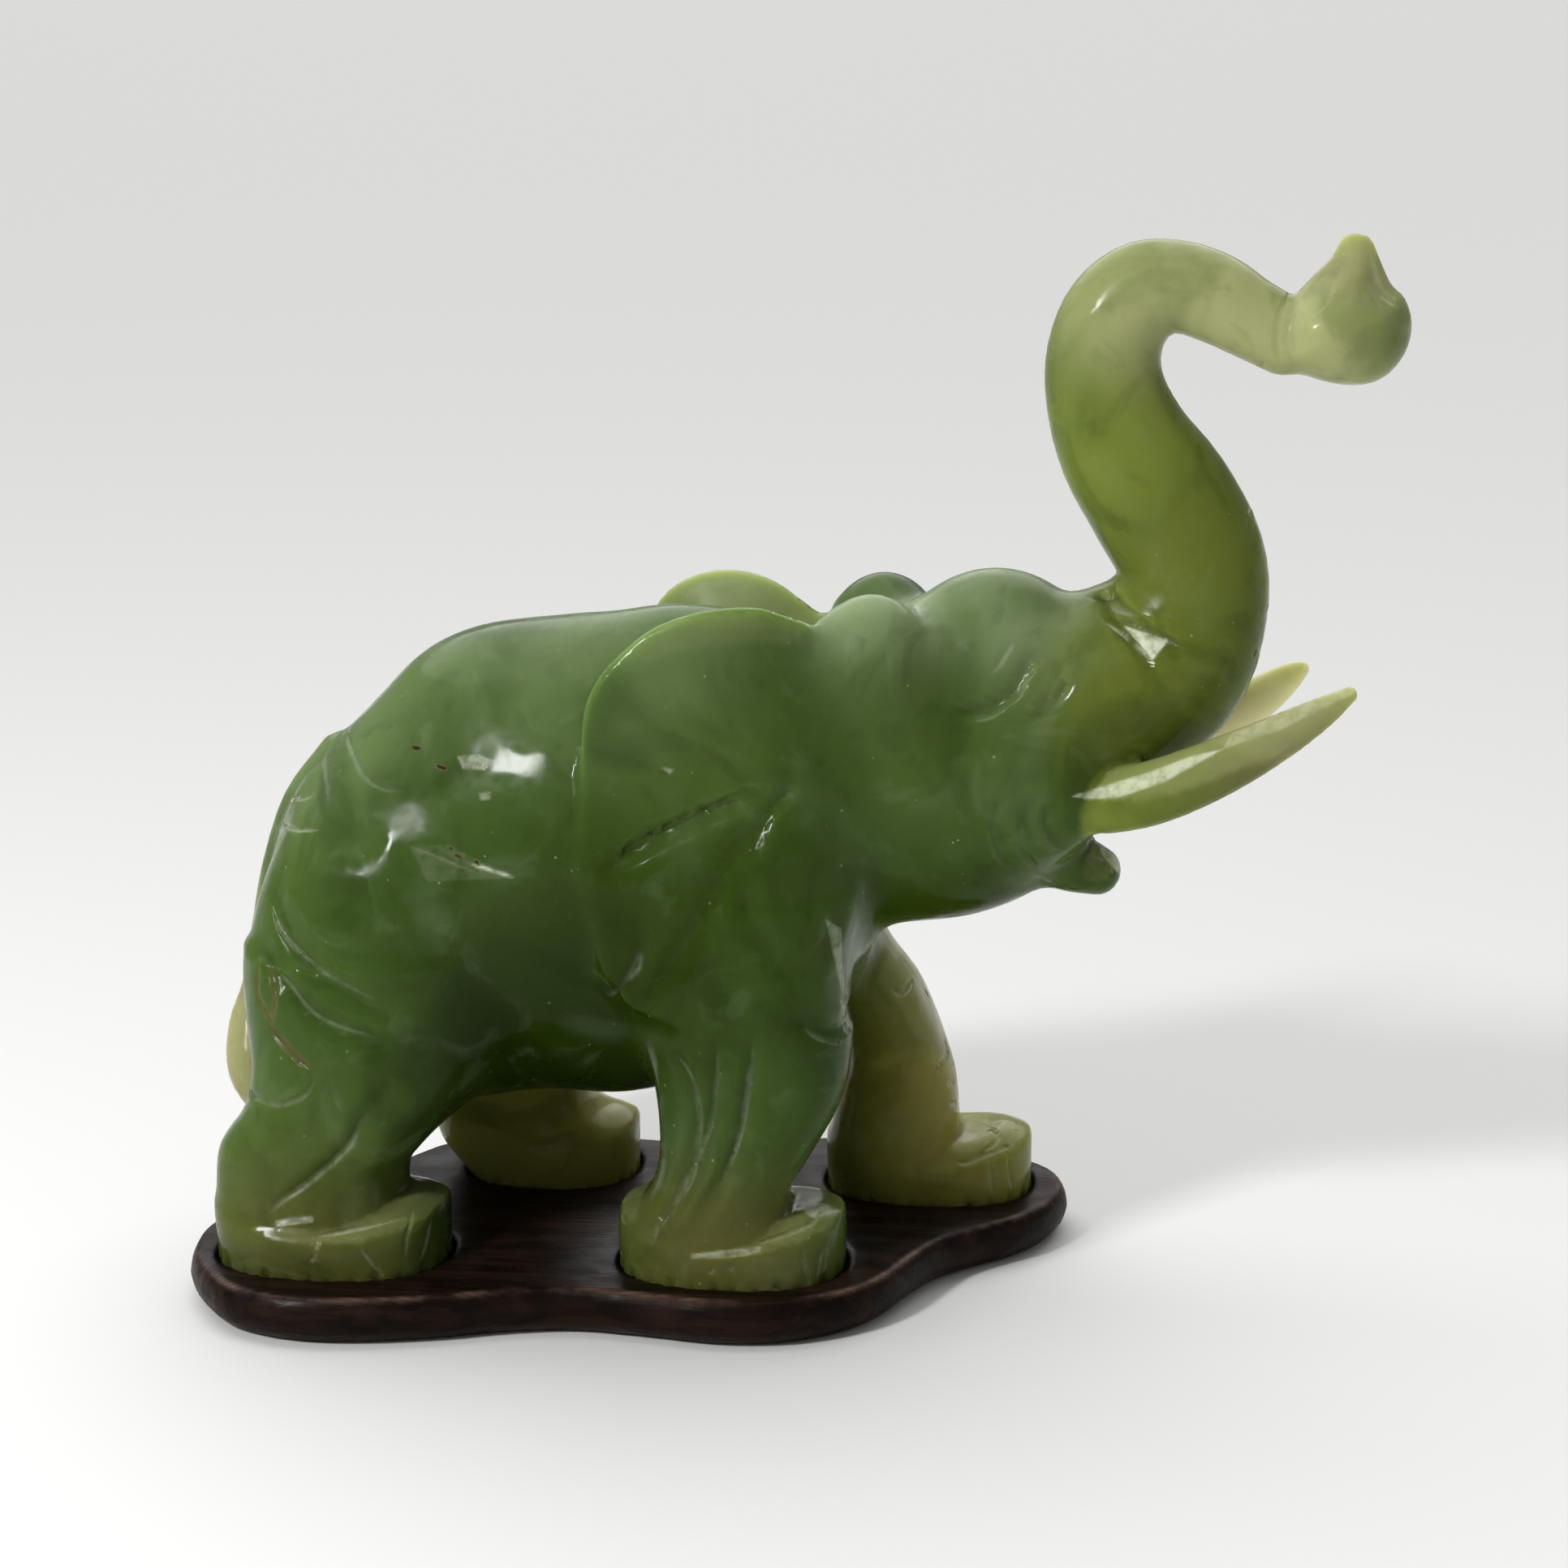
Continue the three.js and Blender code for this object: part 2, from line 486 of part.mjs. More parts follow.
// a closed net of four-sided cells on the zero level of a distance
function surfaceNet(field, low, high, step) {
  const block = 4;
  const size = [0, 1, 2].map((axis) => Math.ceil((high[axis] - low[axis]) / step / block) * block + 1);
  const [nx, ny, nz] = size;
  const at = (i, j, k) => (i * ny + j) * nz + k;
  const values = new Float32Array(nx * ny * nz).fill(NaN);
  const half = (block * step) / 2;
  for (let i = 0; i + 1 < nx; i += block) {
    for (let j = 0; j + 1 < ny; j += block) {
      for (let k = 0; k + 1 < nz; k += block) {
        const middle = field(low[0] + i * step + half, low[1] + j * step + half, low[2] + k * step + half);
        const close = Math.abs(middle) < block * step * 1.35 + 1;
        for (let a = i; a <= i + block; a += 1) {
          for (let b = j; b <= j + block; b += 1) {
            for (let c = k; c <= k + block; c += 1) {
              const index = at(a, b, c);
              if (close && !(Math.abs(values[index]) < 1000)) {
                values[index] = field(low[0] + a * step, low[1] + b * step, low[2] + c * step);
              } else if (Number.isNaN(values[index])) {
                values[index] = middle < 0 ? -1e4 : 1e4;
              }
            }
          }
        }
      }
    }
  }
  const stride = [ny * nz, nz, 1];
  untangle(values, size, stride);
  const points = [];
  const owner = new Int32Array(nx * ny * nz).fill(-1);
  for (let i = 0; i + 1 < nx; i += 1) {
    for (let j = 0; j + 1 < ny; j += 1) {
      for (let k = 0; k + 1 < nz; k += 1) {
        const sum = [0, 0, 0];
        let hits = 0;
        for (let corner = 0; corner < 8; corner += 1) {
          const c = [corner & 1, (corner >> 1) & 1, corner >> 2];
          const here = values[at(i + c[0], j + c[1], k + c[2])];
          for (let axis = 0; axis < 3; axis += 1) {
            if (c[axis] === 0) {
              const d = c.slice();
              d[axis] = 1;
              const there = values[at(i + d[0], j + d[1], k + d[2])];
              if (here < 0 !== there < 0) {
                const t = here / (here - there);
                sum[0] += c[0] + (axis === 0 ? t : 0);
                sum[1] += c[1] + (axis === 1 ? t : 0);
                sum[2] += c[2] + (axis === 2 ? t : 0);
                hits += 1;
              }
            }
          }
        }
        if (hits > 0) {
          owner[at(i, j, k)] = points.length;
          points.push([i, j, k].map((n, axis) => low[axis] + (n + sum[axis] / hits) * step));
        }
      }
    }
  }
  const triangles = [];
  for (let i = 1; i + 1 < nx; i += 1) {
    for (let j = 1; j + 1 < ny; j += 1) {
      for (let k = 1; k + 1 < nz; k += 1) {
        const here = at(i, j, k);
        for (let axis = 0; axis < 3; axis += 1) {
          const there = here + stride[axis];
          if (values[here] < 0 !== values[there] < 0) {
            const u = stride[(axis + 1) % 3];
            const v = stride[(axis + 2) % 3];
            const ring = [owner[here - u - v], owner[here - v], owner[here], owner[here - u]];
            if (values[here] >= 0) {
              ring.reverse();
            }
            triangles.push([ring[0], ring[1], ring[2]], [ring[0], ring[2], ring[3]]);
          }
        }
      }
    }
  }
  return { points, triangles };
}

// moves every point onto the zero level along the slope of the distance
function settle(points, field, rounds) {
  const e = 0.05;
  for (let round = 0; round < rounds; round += 1) {
    for (const p of points) {
      const value = field(p[0], p[1], p[2]);
      const slope = [
        (field(p[0] + e, p[1], p[2]) - field(p[0] - e, p[1], p[2])) / (2 * e),
        (field(p[0], p[1] + e, p[2]) - field(p[0], p[1] - e, p[2])) / (2 * e),
        (field(p[0], p[1], p[2] + e) - field(p[0], p[1], p[2] - e)) / (2 * e),
      ];
      const steep = slope[0] ** 2 + slope[1] ** 2 + slope[2] ** 2;
      const amount = value / Math.max(steep, 0.2);
      const length = Math.abs(amount) * Math.sqrt(steep);
      const share = Math.min(1, 0.8 / Math.max(length, 1e-9));
      for (let axis = 0; axis < 3; axis += 1) {
        p[axis] -= amount * slope[axis] * share;
      }
    }
  }
}

function triangleNormal(a, b, c) {
  const ux = b[0] - a[0];
  const uy = b[1] - a[1];
  const uz = b[2] - a[2];
  const vx = c[0] - a[0];
  const vy = c[1] - a[1];
  const vz = c[2] - a[2];
  return [uy * vz - uz * vy, uz * vx - ux * vz, ux * vy - uy * vx];
}

// how far a point is from the planes gathered in a quadric
function quadricCost(q, p) {
  const [x, y, z] = p;
  const square = q[0] * x * x + q[4] * y * y + q[7] * z * z;
  const cross = q[1] * x * y + q[2] * x * z + q[5] * y * z;
  return square + 2 * cross + 2 * (q[3] * x + q[6] * y + q[8] * z) + q[9];
}

// the point nearest all the planes of a quadric, or null where they leave it open
function quadricPoint(q) {
  const [a, b, c, d, e, f, g, h, i] = q;
  const m = new THREE.Matrix3(a, b, c, b, e, f, c, f, h);
  if (Math.abs(m.determinant()) < 1e-3 * Math.max(a + e + h, 1e-9) ** 3) {
    return null;
  }
  return new THREE.Vector3(-d, -g, -i).applyMatrix3(m.invert()).toArray();
}

// joins points of a closed net pair by pair, the flattest places first, down to a number of triangles
function simplify(points, triangles, target) {
  const quadrics = points.map(() => new Float64Array(10));
  const around = points.map(() => new Set());
  triangles.forEach((tri, t) => {
    const corners = tri.map((v) => points[v]);
    const n = triangleNormal(...corners);
    const area = Math.hypot(...n) || 1e-12;
    const [nx, ny, nz] = n.map((value) => value / area);
    const w = -(nx * corners[0][0] + ny * corners[0][1] + nz * corners[0][2]);
    const plane = [nx * nx, nx * ny, nx * nz, nx * w, ny * ny, ny * nz, ny * w, nz * nz, nz * w, w * w];
    for (const v of tri) {
      around[v].add(t);
      plane.forEach((value, k) => {
        quadrics[v][k] += value * area;
      });
    }
  });
  const stamp = new Int32Array(points.length);
  const heap = [];
  const push = (item) => {
    let at = heap.push(item) - 1;
    while (at > 0) {
      const up = (at - 1) >> 1;
      if (heap[up].cost <= heap[at].cost) {
        break;
      }
      [heap[up], heap[at]] = [heap[at], heap[up]];
      at = up;
    }
  };
  const pop = () => {
    const first = heap[0];
    const last = heap.pop();
    if (heap.length > 0) {
      heap[0] = last;
      let at = 0;
      for (;;) {
        let low = at;
        for (const child of [2 * at + 1, 2 * at + 2]) {
          if (child < heap.length && heap[child].cost < heap[low].cost) {
            low = child;
          }
        }
        if (low === at) {
          break;
        }
        [heap[low], heap[at]] = [heap[at], heap[low]];
        at = low;
      }
    }
    return first;
  };
  const neighbours = (v) => {
    const out = new Set();
    for (const t of around[v]) {
      for (const other of triangles[t]) {
        if (other !== v) {
          out.add(other);
        }
      }
    }
    return out;
  };
  const offer = (u, v) => {
    const q = quadrics[u].map((value, k) => value + quadrics[v][k]);
    const middle = points[u].map((value, axis) => (value + points[v][axis]) / 2);
    const length = Math.hypot(...points[u].map((value, axis) => value - points[v][axis]));
    let place = quadricPoint(q);
    if (place === null || Math.hypot(...place.map((value, axis) => value - middle[axis])) > length) {
      place = middle;
    }
    const cost = Math.max(quadricCost(q, place), 0) + 0.004 * length ** 3;
    push({ cost, u, v, place, marks: [stamp[u], stamp[v]] });
  };
  points.forEach((_, u) => {
    for (const v of neighbours(u)) {
      if (u < v) {
        offer(u, v);
      }
    }
  });
  let alive = triangles.length;
  const dead = new Uint8Array(triangles.length);
  while (alive > target && heap.length > 0) {
    const { u, v, place, marks } = pop();
    if (stamp[u] !== marks[0] || stamp[v] !== marks[1]) {
      continue;
    }
    const nearU = neighbours(u);
    const nearV = neighbours(v);
    const shared = [...nearU].filter((w) => nearV.has(w));
    if (shared.length !== 2) {
      continue;
    }
    const kept = [...around[u], ...around[v]].filter((t) => !(triangles[t].includes(u) && triangles[t].includes(v)));
    const turns = kept.some((t) => {
      const before = triangles[t].map((w) => points[w]);
      const after = triangles[t].map((w) => (w === u || w === v ? place : points[w]));
      const a = triangleNormal(...before);
      const b = triangleNormal(...after);
      const sizeA = Math.hypot(...a);
      const sizeB = Math.hypot(...b);
      const longest = Math.max(
        ...after.map((p, k) => Math.hypot(...p.map((value, axis) => value - after[(k + 1) % 3][axis]))),
      );
      const together = a[0] * b[0] + a[1] * b[1] + a[2] * b[2];
      return together < 0.35 * sizeA * sizeB || sizeB < 0.12 * longest * longest;
    });
    if (turns) {
      continue;
    }
    for (const t of [...around[u]].filter((item) => around[v].has(item))) {
      dead[t] = 1;
      alive -= 1;
      for (const w of triangles[t]) {
        around[w].delete(t);
      }
    }
    for (const t of around[v]) {
      triangles[t] = triangles[t].map((w) => (w === v ? u : w));
      around[u].add(t);
    }
    around[v].clear();
    points[u] = place;
    quadrics[v].forEach((value, k) => {
      quadrics[u][k] += value;
    });
    stamp[u] += 1;
    stamp[v] = -1;
    for (const w of neighbours(u)) {
      offer(u, w);
    }
  }
  const used = new Map();
  const keptTriangles = triangles.filter((_, t) => dead[t] === 0);
  const outPoints = [];
  const outTriangles = keptTriangles.map((tri) =>
    tri.map((v) => {
      if (!used.has(v)) {
        used.set(v, outPoints.length);
        outPoints.push(points[v]);
      }
      return used.get(v);
    }),
  );
  return { points: outPoints, triangles: outTriangles };
}

function geometryFrom(points, triangles) {
  const geometry = new THREE.BufferGeometry();
  geometry.setAttribute("position", new THREE.Float32BufferAttribute(points.flat(), 3));
  geometry.setIndex(triangles.flat());
  geometry.computeVertexNormals();
  return geometry;
}

function elephantGeometry() {
  const field = makeElephantField();
  const net = surfaceNet(field, STONE_LOW, STONE_HIGH, STEP);
  settle(net.points, field, 1);
  const { points, triangles } = simplify(net.points, net.triangles, STONE_TRIANGLES);
  return geometryFrom(points, triangles);
}

// the stand's outline set in or out along its own normals
function standRing(inset) {
  const curve = new THREE.CatmullRomCurve3(
    STAND_OUTLINE.map(([x, y]) => new THREE.Vector3(x, y, 0)),
    true,
    "centripetal",
  );
  const ring = [];
  for (let i = 0; i < STAND_SAMPLES; i += 1) {
    const at = curve.getPointAt(i / STAND_SAMPLES);
    const along = curve.getTangentAt(i / STAND_SAMPLES);
    ring.push([at.x - along.y * inset, at.y + along.x * inset]);
  }
  return ring;
}

// a closed block from rings of the same number of points, lowest first
function blockFromRings(rings, heights) {
  const count = rings[0].length;
  const points = rings.flatMap((ring, row) => ring.map(([x, y]) => [x, y, heights[row]]));
  const triangles = [];
  for (let row = 0; row + 1 < rings.length; row += 1) {
    for (let i = 0; i < count; i += 1) {
      const a = row * count + i;
      const b = row * count + ((i + 1) % count);
      triangles.push([a, b, b + count], [a, b + count, a + count]);
    }
  }
  const capOf = (ring) => THREE.ShapeUtils.triangulateShape(ring.map(([x, y]) => new THREE.Vector2(x, y)), []);
  const topStart = (rings.length - 1) * count;
  for (const [a, b, c] of capOf(rings[0])) {
    triangles.push([a, c, b]);
  }
  for (const [a, b, c] of capOf(rings[rings.length - 1])) {
    triangles.push([topStart + a, topStart + b, topStart + c]);
  }
  return { points, triangles };
}

function solidFrom({ points, triangles }) {
  return new Manifold(
    new ManifoldMesh({
      numProp: 3,
      vertProperties: new Float32Array(points.flat()),
      triVerts: new Uint32Array(triangles.flat()),
    }),
  );
}

// the shallow seat of one foot, a little wider than the foot
function recessBlock([cx, cy, rx, ry]) {
  const count = 28;
  const ring = [];
  for (let i = 0; i < count; i += 1) {
    const angle = (i / count) * 2 * Math.PI;
    const x = Math.sign(Math.cos(angle)) * Math.abs(Math.cos(angle)) ** (2 / FOOT_POWER);
    const y = Math.sign(Math.sin(angle)) * Math.abs(Math.sin(angle)) ** (2 / FOOT_POWER);
    ring.push([cx + (rx + RECESS_CLEARANCE) * x, cy + (ry + RECESS_CLEARANCE) * y]);
  }
  return blockFromRings([ring, ring], [RECESS_FLOOR, STAND_HEIGHT + 3]);
}

function standGeometry() {
  const rings = STAND_SIDE.map(([, inset]) => standRing(inset));
  let solid = solidFrom(blockFromRings(rings, STAND_SIDE.map(([height]) => height)));
  for (const foot of Object.values(FEET)) {
    solid = solid.subtract(solidFrom(recessBlock(foot)));
  }
  const mesh = solid.getMesh();
  const points = [];
  for (let i = 0; i < mesh.vertProperties.length; i += mesh.numProp) {
    points.push(Array.from(mesh.vertProperties.slice(i, i + 3)));
  }
  const triangles = [];
  for (let i = 0; i < mesh.triVerts.length; i += 3) {
    triangles.push(Array.from(mesh.triVerts.slice(i, i + 3)));
  }
  return geometryFrom(points, triangles);
}

function jadeMaterial() {
  return new THREE.MeshStandardMaterial({ color: 0x4f6b38, roughness: 0.18, metalness: 0 });
}

function darkWoodMaterial() {
  return new THREE.MeshStandardMaterial({ color: 0x2c1a16, roughness: 0.38, metalness: 0 });
}

function namedMesh(name, geometry, material) {
  const mesh = new THREE.Mesh(geometry, material);
  mesh.name = name;
  return mesh;
}

const group = new THREE.Group();
group.name = "jade_elephant_on_stand";
group.add(namedMesh("jade_elephant", elephantGeometry(), jadeMaterial()));
group.add(namedMesh("wooden_stand", standGeometry(), darkWoodMaterial()));

export default group;
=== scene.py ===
import bpy
import numpy as np
from mathutils import Matrix, Vector


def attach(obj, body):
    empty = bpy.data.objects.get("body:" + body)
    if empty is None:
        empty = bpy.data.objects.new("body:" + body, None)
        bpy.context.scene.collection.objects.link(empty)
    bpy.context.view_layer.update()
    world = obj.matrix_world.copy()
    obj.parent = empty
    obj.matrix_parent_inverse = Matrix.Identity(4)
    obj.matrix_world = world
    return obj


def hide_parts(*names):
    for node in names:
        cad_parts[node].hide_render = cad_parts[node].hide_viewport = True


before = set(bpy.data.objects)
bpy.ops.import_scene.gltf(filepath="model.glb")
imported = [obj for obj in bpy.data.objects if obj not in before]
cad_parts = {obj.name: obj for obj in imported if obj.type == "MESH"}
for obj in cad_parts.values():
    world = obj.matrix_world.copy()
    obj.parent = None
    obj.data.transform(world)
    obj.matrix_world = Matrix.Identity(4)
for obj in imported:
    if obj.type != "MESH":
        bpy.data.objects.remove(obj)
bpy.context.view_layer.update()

MM = 0.001

# the photograph's camera: turn and pitch in degrees, distance and target in mm, focal length in its pixels
AZIMUTH = 7.0
ELEVATION = 13.0
DISTANCE = 650.0
TARGET = np.array([28.2, 0.0, 96.0])
FOCAL = 4225.0
PHOTO_WIDTH = 1932

# how finely the surfaces are worked out, in mm, and the boxes that hold them
STONE_STEP = 1.4
SPLIT_ROUNDS = 2
FINEST_EDGE = 0.42
STAND_STEP = 0.95
STONE_BOX = (-90, -50, 4.5), (148, 50, 206)
STAND_BOX = (-88, -58, -3), (90, 58, 13)
# the grid is worked out in blocks of this many cells
BLOCK = 4
# triangles with a sharper bend than this cosine are split in the first round
SHARP_BEND = 0.86
# distance given to places far from everything, and how far from its box a form still blends
FAR_AWAY = 60.0
REACH = 14.0
# finding the photograph's spots on the stone: steps, share of the gap gone at each, shortest step, the gap
# that counts as none, and where the rays begin
TRACE_STEPS = 150
TRACE_NONE = 0.05
TRACE_SHARE = 0.6
TRACE_LEAST = 0.25
TRACE_START = DISTANCE - 170.0
FAR_SIDE_START = 60.0
# how far out from the middle plane a flank begins
FLANK = 4
# how near the surface the broad lines and the finer cuts are worked out
BROAD_REACH = 8
FINE_REACH = 4
# how far a frosted face or painted highlight can reach from its middle
FACE_REACH = 32
# depths at which the stone is felt for its far surface, to find the thin parts
THIN_DEPTHS = (7.0, 13.0, 21.0, 30.0)

# the studio in metres, watts and degrees
FLOOR_HALF = 120.0
FLOOR_DROP = 0.0002
WORLD_STRENGTH = 0.34
LAMP_DISTANCE = 1.0
WINDOW_DIRECTION = (-0.52, -0.65, 0.54)
WINDOW_SIZE = (0.12, 0.17)
WINDOW_POWER = 7.2
SKY_DIRECTION = (-0.1, 0.55, 0.83)
SKY_ANGLE = 80
SKY_STRENGTH = 2.4
SENSOR = 36.0

# wooden stand
STAND_HEIGHT = 9.0
RECESS_FLOOR = 7.0
SEAT_GAP = 0.5
STAND_OUTLINE = [
    (-82.2, -24), (-79.6, -34.5), (-71.8, -46.4), (-63.5, -51.4), (-54, -53.3), (-43, -52.4),
    (-30.6, -49.3), (-19, -44.9), (-6, -42.2), (8, -43.6), (20, -45.4), (31, -44.3), (39.4, -40.6),
    (46.2, -35), (51, -27.6), (55, -17.4), (59.4, -8.2), (66.2, -0.6), (74.4, 7.2), (79.7, 17),
    (81.2, 28), (76, 39), (60, 48), (40, 50.5), (22, 48), (4, 43.5), (-13, 45.5), (-30, 47.5), (-46, 38),
    (-57, 20), (-69, 4), (-78.6, -7.4), (-82, -15),
]
STAND_SIDE = [(0, 2.4), (0.9, 1.0), (2.6, -0.4), (4.9, -1.0), (7.2, -0.6), (8.5, 0.1), (9.0, 0.6)]

# feet: centre x and y, half length and half width
FEET = {
    "near_hind": (-54.8, -25.5, 22.0, 17.3),
    "near_front": (21.2, -21.8, 21.3, 16.6),
    "far_front": (54.5, 27.3, 20.4, 16.2),
    "far_hind": (-22.2, 27.5, 17.1, 15.6),
}
# a foot pad's squareness, and the heights of its underside, its rim and its top
FOOT_POWER = 2.4
FOOT_LOW = 7.3
FOOT_RIM = 15.2
FOOT_HIGH = 19.2
# how much higher the pad is at its toe and heel than at its middle
FOOT_RISE = 4.6
# scallops chipped off the lowest edge of a foot: how many round it, their depth and where they end
CHIPS_ROUND = 27.0
CHIP_DEPTH = 0.8
CHIP_LOW = 8.6
CHIP_TOP = 11.0

# legs: height, rear x, front x, centre y and half width at that height
LEG_POWER = 2.5
LEG_NEAR_HIND = [
    (7, -75.2, -44, -25.5, 12.5), (12, -76, -43, -25.5, 13.5), (16.8, -76.9, -41, -25.5, 14.5),
    (26, -76.8, -40.5, -25, 14.5), (31, -75.6, -37, -24.5, 15), (38, -71, -31.5, -23.5, 15.5),
    (50, -70, -24, -21, 17), (66, -70, -22, -18, 18),
]
LEG_NEAR_FRONT = [
    (7, 2.4, 34, -22.5, 12.5), (13, 0.8, 33.5, -22.6, 14), (16.5, 0.6, 33, -23, 14.5),
    (20, 2.6, 32.4, -23.6, 13.8), (24.7, 6.4, 32.6, -24.3, 13.2), (31.8, 8.1, 36.6, -24.3, 13.6),
    (42, 7.4, 42, -23, 15.4), (53, 5, 43.7, -21.5, 17.5), (62, 4, 42.2, -20, 19), (78, 4, 41, -18, 18),
]
LEG_FAR_FRONT = [
    (7, 36.4, 60, 26.5, 12.5), (14, 34.6, 60.8, 25.5, 13.8), (20.2, 34.8, 60.6, 25, 13.8),
    (30.6, 36.6, 59.8, 25, 13.4), (37.3, 38, 58, 24.5, 14), (44.8, 36, 55.5, 23, 15),
    (52.2, 30, 52.1, 21.5, 17), (60, 22, 46.6, 20, 18), (76, 10, 38.5, 18, 18),
]
LEG_FAR_HIND = [
    (7, -37.2, -8, 27.3, 12.5), (10.4, -41, -6.6, 27, 14.4), (16, -45, -6.8, 26.5, 15.4),
    (20, -45.8, -9.6, 26, 15.4), (24, -46.4, -13.8, 25.5, 15.4), (30, -49.6, -15.2, 24.5, 15.4),
    (38, -54, -20, 23, 16), (50, -62, -24, 21, 17), (66, -68, -22, 18, 18),
]

# body, head and haunches: centre, half sizes, fillet and how far the form's nose is tipped up, in degrees
TORSO = [
    ((-36, 0, 72), (35.5, 34, 39.5), 1, 0),
    ((-27, 0, 92), (27, 27, 32.5), 6, 0),
    ((-6, 0, 81.5), (44, 36.5, 46.5), 8, 0),
    ((8, 0, 92), (28, 26, 38), 4, 0),
    ((24, 0, 88), (26, 30, 40), 8, 0),
]
HAUNCH = ((-45.5, 18, 64), (26, 18, 34), 6, -12)
SHOULDER = ((22, 20, 80), (19, 16.5, 34), 8, 0)
HEAD = [
    ((52, 0, 103), (26, 22, 27), 8, 0),
    ((68, 0, 113.3), (22, 19, 24.8), 5, 0),
    ((60, 0, 92.5), (28.3, 21, 20.5), 8, 14),
]
DOME = ((46, 12.5, 119.5), (12, 10.5, 15.4), 4, 0)
CHEEK = ((74, 12, 100), (17, 11, 14), 6, 0)

# round runs: x, y, z and radius from root to tip
LOWER_LIP = [(70, 0, 89, 7.5), (78, 0, 85.2, 6.6), (83, 0, 82.6, 5.6), (87.6, 0, 81, 4.5)]
TRUNK = [
    (80, 0, 111, 21), (96.6, 0, 120.5, 17.7), (103.2, 0, 131, 14.7), (103.5, 0, 141, 13.6),
    (97.8, 0, 151.5, 13.5), (91.4, 0, 160.7, 12.4), (87.6, 0, 170, 11.1), (86.9, 0, 178, 10.4),
    (89.2, 0, 185, 9.9), (94, 0, 189.4, 9.2), (100.3, 0, 190.3, 8.3), (106.6, 0, 188.4, 8.1),
    (112.5, 0, 185.2, 7.4), (119.5, 0, 181.6, 7),
]
# the bud that ends the trunk: outline in the side view, width of its rounded rim, half thickness low and at
# the top, and the heights between which it thins
BUD = [
    (118, 181), (119.2, 186.4), (123.4, 191.8), (127.4, 196), (129.4, 199.8), (133.6, 199.8),
    (136, 195.2), (138, 191.2), (140.6, 188.6), (142, 184), (140.8, 178.6), (136.9, 174.2), (131, 173),
    (124, 174.4), (119, 176.8),
]
BUD_ROUND = 9.5
BUD_HALF = 10.5
BUD_TIP_HALF = 2.8
BUD_THINS = (184, 200)
TUSK_NEAR = [
    (80, -13, 96, 4.2), (90, -16, 98, 5.8), (99.5, -18, 101, 5.9), (110, -19, 105.9, 5.3),
    (120, -19, 111.4, 4.2), (127.5, -18.5, 116, 2.9), (132.5, -18, 119.4, 1.5),
]
TUSK_FAR = [
    (80, 13, 96, 4.2), (90, 16, 98, 6), (98.5, 17.5, 101.2, 5.8), (108, 17.5, 105.8, 5.2),
    (116.5, 17, 111, 4.2), (121.7, 16.5, 115, 3), (124.8, 16, 117.4, 1.6),
]
TAIL = [
    (-57.5, 0, 99.4, 4.5), (-65.2, 0, 89.6, 4.2), (-69.7, -0.5, 77, 4), (-72, -2, 64, 4),
    (-73.2, -4, 54, 4.3), (-74.4, -6.5, 46, 5.4), (-73.6, -9.5, 39, 5.7), (-71, -12, 33.5, 4.2),
]
# how much a round run is widened or narrowed across the elephant
LIP_FLAT = 1.45
TRUNK_FLAT = 0.96
TUSK_FLAT = 0.8
TAIL_FLAT = 1.0

# how softly each form joins the ones before it
LIP_FILLET = 2.5
TRUNK_FILLET = 2.4
BUD_FILLET = 1.0
LEG_FILLET = 5.0
FOOT_FILLET = 1.6
TUSK_FILLET = 1.4
TAIL_FILLET = 1.2

# ears: outline in the side view from the root over the top, down the free edge and round the foot of the ear
EAR_LOWER = [
    (-4.9, 110.7), (-4.9, 103), (-4.6, 95.8), (-3, 88.3), (0, 78), (1, 68), (6, 62.5), (18, 62), (32, 65.5),
    (42, 80), (43, 105),
]
EAR_NEAR = [
    (36, 128), (30, 132.6), (25, 134.1), (18, 133.8), (12.4, 132.5), (7.4, 130.3), (2.9, 126.8), (-1.6, 122),
    (-4.1, 117),
] + EAR_LOWER
EAR_FAR = [
    (36, 123), (32.4, 125), (28.2, 127.6), (24.4, 130), (19.5, 131.9), (13.1, 132.4), (7.5, 131.2),
    (2.6, 128.4), (-0.6, 124.6), (-3.6, 118),
] + EAR_LOWER
# an ear's outer face: distance out at its top, how it spreads lower down and turns in toward the head
EAR_TOP_Y = 28.0
EAR_TOP_Z = 134.0
EAR_SPREAD = 0.19
EAR_FLARE_Z = 88.0
EAR_FLARE = 0.04
EAR_TURN_X = 10.0
EAR_TURN = 0.0125
# an ear's thickness at its edge, and how fast it grows inward
EAR_EDGE = 2.0
EAR_WEDGE = 0.75

# broad carved lines in the side view: points, half width, depth and lean; a depth below zero is a rib
EAR_LINES = [
    ([(-1.5, 87.5), (9, 94.4), (22.4, 100.5), (29.3, 102.6)], 2.4, 1.7, -0.5),
    ([(33.6, 105), (33, 102.5), (29.8, 98.3), (27.9, 93.8), (26.6, 90)], 2, 1.2, -0.4),
    ([(31, 99), (25.5, 95), (21.6, 87.1), (17.1, 77.9), (12.6, 71.3), (5, 62.5)], 3.6, 1.3, 0),
    ([(6.1, 80), (6.3, 70.3), (0, 63.5)], 2.6, 0.8, 0),
    ([(27, 92), (25.6, 82), (29.8, 73.7), (33.5, 67)], 3.2, 0.9, 0),
    ([(12, 123), (17, 118.7), (28.4, 109.3), (32, 106)], 3.4, -0.7, 0),
    ([(-3.5, 110), (4.3, 111.8), (14.5, 111.9), (25.6, 107.6), (31, 105)], 2.8, -0.6, 0),
    ([(-3, 109.5), (7.2, 105.9), (14, 104)], 3, 0.6, 0),
]
